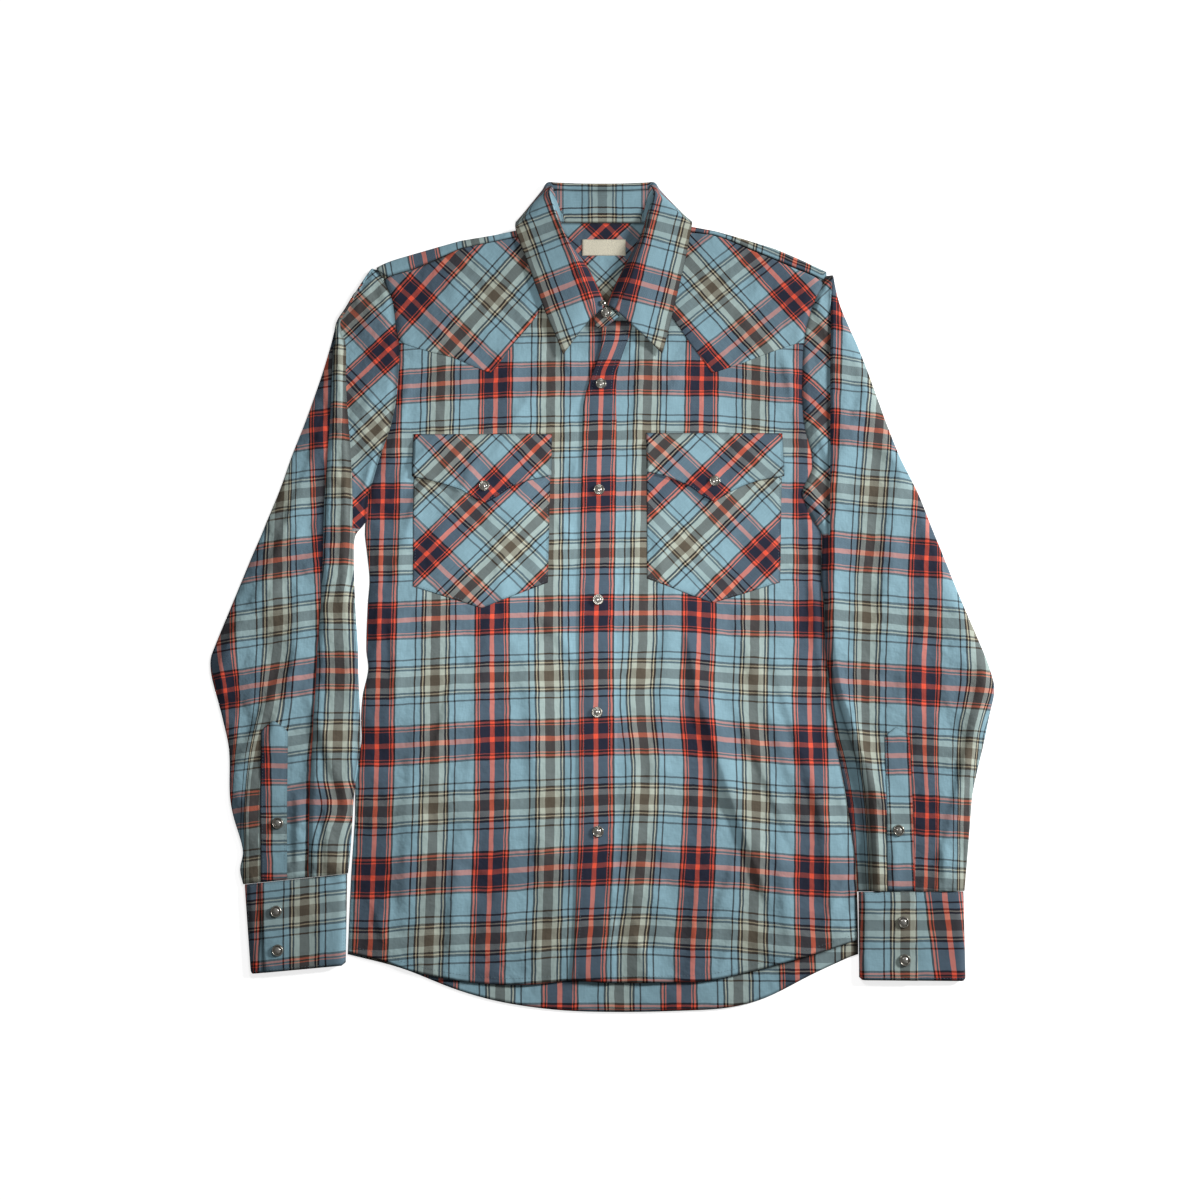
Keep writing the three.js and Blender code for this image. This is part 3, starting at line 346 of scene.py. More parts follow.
def unevenness(x, y, seed, size):
    # six long waves in mixed directions, as cloth lies after it is smoothed by hand
    random = np.random.default_rng(seed)
    total = np.zeros_like(x)
    for _ in range(6):
        angle, phase = random.uniform(0, math.tau, 2)
        wave = size * random.uniform(0.6, 1.7)
        total += np.sin((x * math.cos(angle) + y * math.sin(angle)) * math.tau / wave + phase)
    return total / 4


def edgeDistance(x, y):
    # how far each point of a grid is from the nearest edge of its sheet, measured along the grid
    across = np.hypot(np.diff(x, axis=1), np.diff(y, axis=1))
    down = np.hypot(np.diff(x, axis=0), np.diff(y, axis=0))
    left = np.pad(np.cumsum(across, axis=1), ((0, 0), (1, 0)))
    top = np.pad(np.cumsum(down, axis=0), ((1, 0), (0, 0)))
    return np.minimum(np.minimum(left, left[:, -1:] - left), np.minimum(top, top[-1:] - top))


def sewnEdge(x, y, inset=2.2, plump=0.35):
    # a turned and sewn edge: rolled down at the rim, with a shallow dip along the stitching
    away = edgeDistance(x, y)
    return -0.5 * (1 - ease(away / 1.6)) - plump * np.exp(-(((away - inset) / 1.1) ** 2))


def shares(count, length, rim=0.9):
    # even steps from one edge to the other, with two narrow ones at each edge for the sewn rim
    near = rim / length
    return np.concatenate([[0, near, 2 * near], np.linspace(0, 1, count)[1:-1], [1 - 2 * near, 1 - near, 1]])


def clothPiece(name, x, y, z, maps, look, wall, nodes, isTube=False, paintedShade=None):
    # a grid of places made into a sheet: maps gives warp and weft places for each run of columns
    rows, columns = x.shape
    places = np.stack([x - origin["x"], y - origin["y"], z], axis=-1).reshape(-1, 3) / 1000
    j = np.arange(rows - 1)[:, None]
    i = np.arange(columns if isTube else columns - 1)[None, :]
    nextColumn = (i + 1) % columns
    corners = np.stack([j * columns + i, (j + 1) * columns + i, (j + 1) * columns + nextColumn, j * columns + nextColumn], axis=-1)
    corners = corners.reshape(-1, 4)
    mesh = bpy.data.meshes.new(name)
    mesh.vertices.add(len(places))
    mesh.vertices.foreach_set("co", places.ravel())
    mesh.loops.add(corners.size)
    mesh.loops.foreach_set("vertex_index", corners.ravel().astype(np.int32))
    mesh.polygons.add(len(corners))
    mesh.polygons.foreach_set("loop_start", np.arange(0, corners.size, 4, dtype=np.int32))
    uv = np.zeros((len(corners), 4, 2))
    faceColumn = np.broadcast_to(i, (rows - 1, i.shape[1])).reshape(-1)
    for first, last, warp, weft in maps:
        picked = (faceColumn >= first) & (faceColumn < last)
        uv[picked, :, 0] = warp.reshape(-1)[corners[picked]]
        uv[picked, :, 1] = weft.reshape(-1)[corners[picked]]
    layer = mesh.uv_layers.new(name="cloth")
    layer.data.foreach_set("uv", uv.ravel())
    mesh.polygons.foreach_set("use_smooth", np.ones(len(corners), dtype=bool))
    # painted shade: a dark rim along every edge of the sheet, kept per point for the material to darken the check
    if paintedShade is None:
        paintedShade = np.exp(-((edgeDistance(x, y) / 1.1) ** 2))
    paintedShadeLayer = mesh.attributes.new("paintedSeamShade", "FLOAT", "POINT")
    paintedShadeLayer.data.foreach_set("value", np.clip(paintedShade, 0, 1).ravel())
    mesh.update(calc_edges=True)
    mesh.validate()
    piece = bpy.data.objects.new(name, mesh)
    bpy.context.collection.objects.link(piece)
    mesh.materials.append(materials[look])
    shell = piece.modifiers.new("wall", "SOLIDIFY")
    shell.thickness = wall / 1000
    shell.offset = -1
    shell.use_even_offset = False
    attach(piece, "root")
    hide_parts(*nodes)
    return piece


# outer edge of the body at the shoulder seam, the armhole and the side seam
bodyEdge = {
    "columns": ["y", "left", "right"],
    "rows": [
        (395, -62, 70), (391, -72, 92), (388, -80, 120), (381, -110, 139), (373, -146, 156), (361, -171, 183),
        (350, -195, 207), (341, -222, 227), (333, -223, 232), (319, -217, 225), (306, -214, 220), (283, -211, 213),
        (268, -208, 211), (236, -208, 209), (205, -210, 208), (178, -215, 210), (149, -224, 216), (135, -228, 216),
        (122, -231, 210), (108, -235, 205), (94, -236.5, 210), (79, -237, 217), (66, -237, 224), (45, -234, 223),
        (20, -231, 222), (-5, -232, 224), (-50, -232, 224), (-70, -229.5, 225.5), (-95, -234, 227),
        (-118, -235, 229), (-142, -234, 231.5), (-168, -238.5, 235.5), (-191, -238.5, 239), (-216, -238, 242),
        (-262, -239.5, 247), (-290, -240, 247.2), (-320, -240.3, 246.8), (-341, -240.5, 246.2),
    ],
}
frontInner = {
    "columns": ["y", "left", "right"],
    "rows": [
        (395, -55, 60), (388, -46, 48), (379, -38, 43), (366, -28, 35), (354, -18, 29), (335, -9, 21),
        (319, -1, 16), (306, 6, 15), (293, 10, 12), (283, 11, 3), (268, 11, 3), (252, 11, 0), (230, 11, -8),
        (205, 11, -14), (178, 10, -16), (66, 9, -18), (-50, 8, -19), (-168, 8, -18), (-240, 6, -20),
        (-290, 4, -22), (-341, -1, -25),
    ],
}
frontHem = {
    "columns": ["x", "y"],
    "rows": [
        (-241, -341), (-206, -349), (-177, -359), (-121, -369), (-67, -371), (-26, -367), (4, -369), (61, -369),
        (103, -367), (151, -357), (203, -343), (245, -330),
    ],
}
backHem = {
    "columns": ["x", "y"],
    "rows": [
        (-241, -343), (-189, -356), (-135, -376), (-93, -387), (-42, -394), (9, -396), (74, -395), (122, -392),
        (157, -383), (203, -361), (244, -343),
    ],
}
hemStart = -262.0
hemCorner = -341.0


def towardsHem(x, y, hem):
    # rows below the last level lean into the curve of the hem
    share = np.clip((hemStart - y) / (hemStart - hemCorner), 0, 1)
    return np.where(y > hemStart, y, mix(hemStart, read(hem, "y", x, "x"), share))


# how the fronts lie: a little over the pile of layers, down at the side seams, with the creases of the photo
frontLie = {
    "middle": 3.95,
    "side": 2.2,
    "slope": 34.0,
    "creases": [
        (93, -80, 99, 50, 3.2, 15, 2.6), (112, -150, 106, 50, 3.2, 17, 3.0), (138, -230, 110, 62, 3.4, 18, 3.2),
        (60, -110, 84, 120, 7, 14, 1.1), (118, -290, 70, 40, 4, 12, 1.6), (160, -175, 112, 70, 4, 12, 1.5),
        (-158, -140, 78, 70, 4, 12, 1.3), (-100, 20, 100, 50, 4, 12, 1.0), (60, 30, 96, 45, 4, 12, 1.1),
        (-150, 95, 62, 55, 5, 8, 0.9), (-205, 190, 80, 40, 4, 7, 1.4), (-196, 60, 75, 60, 5, 9, 1.4),
        (-222, 0, 90, 60, 5, 8, 1.4), (-204, -60, 96, 44, 4, 9, 1.3), (-118, -95, 84, 80, 7, 12, 1.3),
        (-62, -190, 95, 110, 8, 14, 1.4), (-185, -215, 88, 90, 7, 12, 1.6), (-140, -300, 86, 56, 6, 10, 1.4),
        (-40, -40, 128, 34, 5, 8, 1.2), (-30, 60, 120, 30, 5, 8, 1.1), (-90, -30, 20, 60, 9, 9, 0.5),
        (30, 30, 74, 40, 5, 8, 0.9), (168, -120, 108, 100, 6, 12, 1.3), (196, -150, 106, 90, 5, 10, 1.7),
        (218, -60, 94, 70, 4, 7, 1.8), (176, -280, 96, 60, 6, 11, 1.6), (212, 30, 92, 70, 5, 8, 1.6),
        (150, -60, 30, 50, 8, 8, 0.6), (40, 215, 84, 50, 5, 8, 1.1), (196, 215, 100, 45, 4, 8, 1.3),
        (-70, 215, 60, 40, 5, 7, 0.9), (-188, 140, 50, 30, 4, 7, 1.2), (90, -320, 85, 50, 6, 10, 1.2),
        (30, -250, 92, 90, 6, 10, 1.1), (214, -230, 96, 60, 5, 9, 1.4), (-30, 240, 118, 26, 4, 7, 1.3),
        (28, 262, 60, 22, 4, 6, 1.1), (150, 180, 20, 40, 6, 6, 0.5), (226, -290, 62, 26, 3, 6, 1.3), (232, -318, 50, 16, 3, 5, 1.2),
        (-210, -318, 110, 18, 3, 6, 0.9), (-60, -345, 84, 18, 3, 6, 0.8), (40, -348, 100, 18, 3, 6, 0.8), (120, -340, 70, 22, 3, 6, 0.9),
    ],
}


def frontTop(x, y):
    # height of the fronts' upper face
    fromSide = np.minimum(x - read(bodyEdge, "left", y), read(bodyEdge, "right", y) - x)
    low = ease((120 - y) / 50)
    rise = mix(1.0, ease(fromSide / frontLie["slope"]), low)
    base = mix(frontLie["side"], frontLie["middle"], rise)
    creases = 1.5 * ridges(frontLie["creases"], x, y) + 0.8 * unevenness(x, y, 5, 75) + 0.3 * unevenness(x, y, 8, 27)
    calm = ease(fromSide / 14) * (1 - 0.55 * ease((y - 250) / 40)) * mix(0.25, 1, ease((np.abs(x + 2) - 21) / 14))
    seam = -1.1 * (1 - ease(fromSide / 5))
    return base + creases * calm + seam


# middles of the orange stripes: along the weft for each place across, and along the warp for each front
weftLines = {
    "columns": ["x", "above", "first", "second", "third", "fourth", "fifth", "below"],
    "rows": [
        (-207, 344, 221, 101, -22, -146, -272, -396), (-175, 347, 224, 102, -20, -144, -269, -393),
        (-134, 350, 227, 104, -18, -141, -267, -391), (-98, 351, 229, 105, -17, -139, -266, -390),
        (-46, 352, 230, 106, -15, -138, -262, -386), (36, 353, 231, 109, -14, -135, -259, -383),
        (82, 353, 231, 108, -14, -136, -261, -385), (128, 351, 230, 106, -18, -140, -263, -387),
        (175, 347, 224, 102, -19, -144, -268, -392), (219, 343, 221, 101, -20, -145, -271, -395),
    ],
}


def placeBetween(value, lines, start=0.0):
    # counts the lines passed, with an even share of the gap between each pair; lines run downwards
    stack = np.stack(np.broadcast_arrays(*lines))
    place = start + (stack[0] - value) / (stack[0] - stack[1])
    for k in range(1, len(lines) - 1):
        below = value < stack[k]
        place = np.where(below, start + k + (stack[k] - value) / (stack[k] - stack[k + 1]), place)
    return place


def bodyWeft(x, y):
    lines = [read(weftLines, name, x, "x") for name in weftLines["columns"][1:]]
    return placeBetween(y, lines, -1.0)


warpLines = {
    "columns": ["y", "left", "leftWidth", "right", "rightWidth"],
    "rows": [
        (395, -107, 113, 110, 111), (207, -107, 113, 104, 111), (9, -107.3, 112, 99, 111), (-41, -107, 112, 98, 111),
        (-101, -106, 113, 95, 111), (-164, -105, 113, 98, 108), (-226, -105, 113, 96, 109), (-288, -106, 112.5, 92, 111),
        (-339, -107, 112, 88, 115),
    ],
}


def frontWarp(side, x, y):
    return (x - read(warpLines, side, y)) / read(warpLines, side + "Width", y)


levels = np.concatenate([np.arange(395, 120, -3.8), np.arange(120, 60, -2.8), np.arange(60, hemCorner, -3.8), [hemCorner]])

# fronts
share = shares(110, 250)[None, :]
y = levels[:, None] + np.zeros_like(share)
x = mix(read(bodyEdge, "left", y), read(frontInner, "left", y), share)
y = towardsHem(x, y, frontHem)
leftHemEdge = np.stack([x[-1], y[-1]], axis=-1)
leftMap = (0, 999, frontWarp("left", x, y), bodyWeft(x, y))
clothPiece(
    "leftFront", x, y, frontTop(x, y), [leftMap], "front_plaid", 0.8, ["front_left"],
)

share = shares(116, 260)[None, :]
y = levels[:, None] + np.zeros_like(share)
x = mix(read(frontInner, "right", y), read(bodyEdge, "right", y), share)
y = towardsHem(x, y, frontHem)
lapped = 1.2 * ease((16 - x) / 3) * ease((313 - y) / 8)
rightHemEdge = np.stack([x[-1], y[-1]], axis=-1)
rightMap = (0, 999, frontWarp("right", x, y), bodyWeft(x, y))
clothPiece(
    "rightFront", x, y, frontTop(x, y) + lapped, [rightMap], "front_plaid", 0.8, ["front_right"],
)
print("fronts made")

# back, one flat sheet with the longer hem
backLevels = np.concatenate([[289.7], levels[levels < 289]])
y = backLevels[:, None] + np.zeros(60)[None, :]
share = np.linspace(0, 1, 60)[None, :]
x = mix(read(bodyEdge, "left", y), read(bodyEdge, "right", y), share)
y = towardsHem(x, y, backHem)
z = 1.15 + 0.12 * unevenness(x, y, 11, 60) * ease(edgeDistance(x, y) / 8) + 0.5 * ease((-352 - y) / 14)
backMap = (0, 99, (x + 38.2) / 113, (y + 407.0) / 122)
backEdge = np.stack([x[-1], y[-1]], axis=-1)
clothPiece("backPanel", x, y, z, [backMap], "back_plaid", 1.1, ["back"])

# placket, pulled aside under the collar
placketPath = {
    "columns": ["y", "x", "width", "orange"],
    "rows": [
        (293, 17, 31, 19), (283, 17, 31, 18.4), (268, 14.5, 26, 16), (252, 10, 24, 10), (235, 4.5, 26, 3),
        (205, 0, 33, 1), (178, -0.5, 35, 0.4), (133, -1, 35.2, -1), (66, -2, 35.5, -2), (-41, -3.5, 35, -4),
        (-101, -3.6, 35, -4), (-168, -3, 35, -4), (-231, -3.6, 35, -4), (-288, -6, 34.5, -7), (-320, -8, 34, -9),
        (-341, -10, 34, -11),
    ],
}
placketLevels = levels[levels <= 293]
share = shares(14, 34)[None, :] - 0.5
y = placketLevels[:, None] + np.zeros_like(share)
x = read(placketPath, "x", y) + read(placketPath, "width", y) * share
y = towardsHem(x, y, frontHem)
lie = frontTop(np.full_like(x, -3.0), y)
placketTop = lie + 2.15 + sewnEdge(x, y, 5.0, 0.22) + 0.1 * unevenness(x, y, 21, 30)
placketMap = (0, 99, (x - read(placketPath, "orange", y)) / 113, bodyWeft(x, y))
placketGrid = (x, y, placketTop)
clothPiece(
    "frontPlacket", x, y, placketTop, [placketMap], "placket_plaid", 1.3, ["placket"],
)
print("back and placket made")


def crossing(x, y, centre, warpAngle, warpWidth, weftAngle, weftWidth):
    # places on a bias-cut piece: distances from the two stripes that cross at the centre
    warp, weft = math.radians(warpAngle), math.radians(weftAngle)
    u = ((y - centre[1]) * math.cos(warp) - (x - centre[0]) * math.sin(warp)) / warpWidth
    v = ((y - centre[1]) * math.cos(weft) - (x - centre[0]) * math.sin(weft)) / weftWidth
    return u, v


# front yokes, pointed below, cut on the bias
yokes = {
    "left": {
        "inner": [(395, -59), (373, -41), (350, -27), (330, -46), (306, -62), (293, -69), (268, -89)],
        "low": [(268, -203, -89), (260, -178, -95), (253, -152, -99.5), (245, -134, -105), (237, -114, -111.5)],
        "check": ((-196, 317), 50.5, 129, -44.2, 124),
    },
    "right": {
        "inner": [(395, 65), (373, 46), (350, 35), (330, 51), (306, 68), (293, 77), (268, 93)],
        "low": [(268, 93, 203), (260, 99, 180), (253, 104, 162), (245, 110, 141), (237, 115, 117.5)],
        "check": ((202, 319), -50.2, 119, 39.6, 124),
    },
}
yokeGrids = {}
for side, yoke in yokes.items():
    upper = np.arange(395, 268, -3.5)
    lower = np.linspace(268, 237, 18)
    innerKeys, innerPlaces = zip(*yoke["inner"])
    lowKeys, lowLeft, lowRight = zip(*yoke["low"])
    outerUp = read(bodyEdge, side, upper)
    innerUp = smooth(innerKeys, innerPlaces, upper)
    ends = (outerUp, innerUp) if side == "left" else (innerUp, outerUp)
    left = np.concatenate([ends[0], smooth(lowKeys, lowLeft, lower)])
    right = np.concatenate([ends[1], smooth(lowKeys, lowRight, lower)])
    share = shares(44, 110)[None, :]
    y = np.concatenate([upper, lower])[:, None] + np.zeros_like(share)
    x = mix(left[:, None], right[:, None], share)
    z = frontTop(x, y) + 0.95 + sewnEdge(x, y) + 0.25 * unevenness(x, y, 31, 45) * ease(edgeDistance(x, y) / 10)
    yokeGrids[side] = (x, y, z)
    biasMap = (0, 99, *crossing(x, y, *yoke["check"]))
    clothPiece(
        side + "FrontYoke", x, y, z, [biasMap], "bias_plaid", 0.9, ["front_yoke_" + side],
    )
print("front yokes made")

# pockets with one point below, and the flaps over them
pockets = {
    "left": {
        "top": 171.0,
        "flap": [(-190, 126), (-166, 120), (-142, 112), (-126, 103), (-115, 98), (-103, 105), (-89, 115), (-74, 121), (-49, 127)],
        "pouch": [(-189.5, -187, 13), (-117, -118, -9), (-50, -52, 17)],
        "pouchCheck": ((-174, 46), 45.2, 110, -43.6, 126),
        "flapCheck": ((-108, 110.4), 46.2, 113, -46.4, 124),
    },
    "right": {
        "top": 172.0,
        "flap": [(47, 131), (70, 125), (91, 115), (104, 105), (115, 99), (128, 107), (143, 115), (160, 121), (186, 126)],
        "pouch": [(47.5, 47, 21), (115, 112, -4), (185.5, 180, 17)],
        "pouchCheck": ((166, 47), 44.5, 123, -46.8, 109),
        "flapCheck": ((105, 112), 45.0, 123, -44.0, 113),
    },
}
pocketGrids = []
for side, pocket in pockets.items():
    tops, bottoms, lows = zip(*pocket["pouch"])
    share = shares(45, 138)
    keys = (np.array(tops) - tops[0]) / (tops[-1] - tops[0])
    down = shares(44, 150)[:, None]
    x = mix(np.interp(share, keys, tops)[None, :], np.interp(share, keys, bottoms)[None, :], down)
    y = mix(pocket["top"] - 14.0, np.interp(share, keys, lows)[None, :], down)
    swell = 0.5 * ease(edgeDistance(x, y) / 22) + 0.2 * unevenness(x, y, 41, 40)
    z = frontTop(x, y) + 0.8 + swell * ease(edgeDistance(x, y) / 6) + sewnEdge(x, y)
    pouchMap = (0, 99, *crossing(x, y, *pocket["pouchCheck"]))
    clothPiece(
        side + "Pocket", x, y, z, [pouchMap], "bias_plaid", 0.8, ["pocket_" + side],
    )
    pocketGrids.append((x, y, z, ("left", "bottom", "right")))
    flapX, flapY = np.array(pocket["flap"], float).T
    tip = 4
    share = np.concatenate([np.linspace(0, 1, 24), np.linspace(1, 0, 24)[1:]])
    columnsX = np.concatenate([np.linspace(flapX[0], flapX[tip], 24), np.linspace(flapX[tip], flapX[-1], 24)[1:]])
    lowEdge = np.concatenate([
        smooth(flapX[: tip + 1], flapY[: tip + 1], columnsX[:24]), smooth(flapX[tip:], flapY[tip:], columnsX[24:]),
    ])
    down = shares(26, 60)[:, None]
    x = columnsX[None, :] + np.zeros_like(down)
    y = mix(pocket["top"], lowEdge[None, :], down)
    z = frontTop(x, y) + mix(1.0, 2.9, ease((pocket["top"] - 5 - y) / 8)) + 0.5 * sewnEdge(x, y)
    z += 0.2 * unevenness(x, y, 47, 40) * ease(edgeDistance(x, y) / 6) + 0.5 * ease(1 - (y - lowEdge[None, :]) / 5)
    flapMap = (0, 99, *crossing(x, y, *pocket["flapCheck"]))
    clothPiece(
        side + "PocketFlap", x, y, z, [flapMap], "bias_plaid", 0.8, ["pocket_flap_" + side],
    )
    pocketGrids.append((x, y, z, ("left", "bottom", "right", "top")))
print("pockets made")

# sleeves: outer fold, the lying fold's two edges, and the armhole then the inner fold
sleeveLeft = {
    "columns": ["y", "out", "lap", "fold", "inner"],
    "rows": [
        (350, -238.5, -237.8, -237.2, -235.6), (341, -245, -244, -243, -229.5), (319, -257.5, -256.6, -255.6, -217.4),
        (306, -264.5, -263.4, -262, -214.4), (293, -272, -271, -269.5, -212.4), (283, -275, -273.5, -269, -211.4),
        (268, -278, -275, -263.5, -208.4), (236, -286, -275.5, -262, -208.4), (205, -295, -275.5, -260, -210.4),
        (178, -303.5, -276, -257, -215.4), (149, -313.5, -277, -254, -224.4), (122, -321.5, -278, -252, -231.4),
        (108, -326, -278.3, -251.2, -235.4), (94, -331, -278.5, -250.5, -236.9), (79, -336.5, -278.5, -250, -237.8),
        (66, -341, -278.5, -249.8, -246.5), (45, -349, -278, -249.8, -247.5), (-5, -367, -278, -246.8, -244.5),
        (-50, -383, -280, -242.6, -240.3), (-60, -385.6, -280, -242, -239.8), (-76, -384, -280.2, -241, -239),
        (-105, -375, -280.5, -239, -237), (-118, -371, -281, -238.2, -236), (-149, -363, -281.5, -237, -235),
        (-193, -360, -282, -241.5, -239.5), (-212, -356, -281.7, -242, -240.2), (-246, -344.8, -281, -243, -241.2),
        (-264, -346.6, -280.6, -243.6, -242), (-278, -343, -280, -244.6, -243),
    ],
}
sleeveRight = {
    "columns": ["y", "out", "fold", "inner"],
    "rows": [
        (343, 243.8, 242.6, 238), (333, 245, 241, 232.6), (319, 247.5, 239.5, 225.6), (306, 251, 238.5, 220.4),
        (283, 259.5, 238, 213.4), (268, 265.5, 237, 211.4), (236, 276.5, 236, 209.4), (205, 286, 235, 208.4),
        (178, 294.5, 234, 210.4), (149, 304.5, 233, 216.5), (135, 310.5, 232.5, 216.5), (122, 316.5, 232, 210.5),
        (108, 322.5, 231.5, 205.5), (94, 327.5, 231, 210.6), (79, 332.5, 230.5, 217.8), (66, 337, 230, 225),
        (45, 344.5, 229, 224.1), (20, 353, 228, 223.2), (-5, 362, 227.6, 225), (-50, 379, 228, 225),
        (-70, 385.5, 230, 226.6), (-90, 389, 233, 227.6), (-118, 382, 240, 230.1), (-142, 376, 247, 232.6),
        (-168, 368.5, 254, 236.5), (-191, 362.5, 259, 240), (-216, 359, 262, 243), (-262, 353, 262, 248.1),
        (-284, 350, 262, 248.4),
    ],
}
sleeveLie = {
    "flat": 5.2,
    "cap": 4.7,
    "raise": 3.0,
    "leftCreases": [
        (-332, -118, 66, 52, 4, 9, 1.6), (-312, -104, 74, 60, 5, 12, 1.5), (-300, -30, 88, 70, 6, 12, 1.2),
        (-352, -20, 64, 70, 7, 12, 1.4), (-266, -150, 112, 46, 3.5, 8, 1.6), (-262, -232, 94, 40, 3.5, 8, 1.5),
        (-240, 200, 52, 40, 5, 10, 1.3), (-230, 256, 40, 34, 5, 8, 0.9), (-300, 120, 72, 80, 6, 12, 1.3),
        (-292, -232, 92, 40, 3.5, 7, 1.6), (-343, -220, 84, 44, 4, 8, 1.4), (-248, 320, 60, 26, 4, 7, 1.0),
        (-256, 60, 90, 80, 4, 8, 1.0), (-226, 150, 70, 40, 4, 8, 1.2), (-318, 20, 70, 50, 6, 10, 1.0),
    ],
    "rightCreases": [
        (366, -120, 76, 70, 5, 10, 1.7), (346, -190, 74, 60, 4, 9, 1.5), (258, -160, 108, 70, 3.5, 11, 1.9),
        (290, 60, 84, 110, 8, 14, 1.3), (262, 190, 70, 80, 6, 12, 1.2), (320, -30, 70, 80, 8, 14, 1.3),
        (226, 300, 110, 40, 4, 8, 1.0), (222, 170, 112, 40, 4, 8, 1.3), (216, 98, 118, 22, 3, 9, 2.4),
        (226, 58, 104, 30, 2.5, 8, 1.6), (262, -240, 92, 36, 3.5, 8, 1.5), (282, -262, 88, 22, 3, 6, 1.2),
        (330, -262, 92, 22, 3, 7, 1.2), (243, -150, 112, 60, 2.5, 6, 1.8), (310, 240, 64, 50, 6, 10, 0.9),
    ],
}
cuffs = {
    "left": {"top": ((-341.5, -278), (-243.2, -268)), "bottom": ((-332, -361), (-241.8, -353)), "lap": 0.15, "above": True},
    "right": {"top": ((248, -285), (349, -284.5)), "bottom": ((246, -366.5), (347, -367.5)), "lap": 0.54, "above": False},
}
armholeEnd = 79.0


def ringOf(x, z, low, under=14):
    # closes a row of places over the top with a flat row back underneath
    back = np.linspace(1, 0, under + 2)[1:-1][None, :]
    underX = mix(x[:, :1], x[:, -1:], back)
    return np.concatenate([x, underX], axis=1), np.concatenate([z, np.full_like(underX, low)], axis=1)


def tuckUnder(x, z, y, reach, atStart):
    # the seam allowance at the armhole, carried a little way under the body's edge
    edge = 0 if atStart else -1
    away = reach * ease((y[:, :1] - armholeEnd + 2) / 6)
    tuckX = x[:, edge, None] + away
    tuckZ = mix(z[:, edge, None] - 0.4, 1.9, ease((y[:, :1] - armholeEnd + 2) / 6))
    parts = ([tuckX, x], [tuckZ, z]) if atStart else ([x, tuckX], [z, tuckZ])
    return np.concatenate(parts[0], axis=1), np.concatenate(parts[1], axis=1)


def blockRun(edges, counts):
    # places across a row: an even run of points in each block between two edges
    runs = [mix(edges[k], edges[k + 1], np.linspace(0, 1, count)[None, :]) for k, count in enumerate(counts)]
    return np.concatenate(runs, axis=1)


def sleeveRows(table, side):
    top = table["rows"][0][0]
    bottom = table["rows"][-1][0]
    rows = np.concatenate([np.arange(top, 120, -4.0), np.arange(120, 60, -2.5), np.arange(60, bottom + 2, -4.0), [bottom]])
    return rows[:, None]


def bendToCuff(side, x, y, bottom):
    # the last rows lean to the cuff's seam
    (x0, y0), (x1, y1) = cuffs[side]["top"]
    seam = y0 + (x - x0) * (y1 - y0) / (x1 - x0) + 0.3
    share = np.clip((-240 - y) / (-240 - bottom), 0, 1)
    return np.where(y > -240, y, mix(-240.0, seam, share))


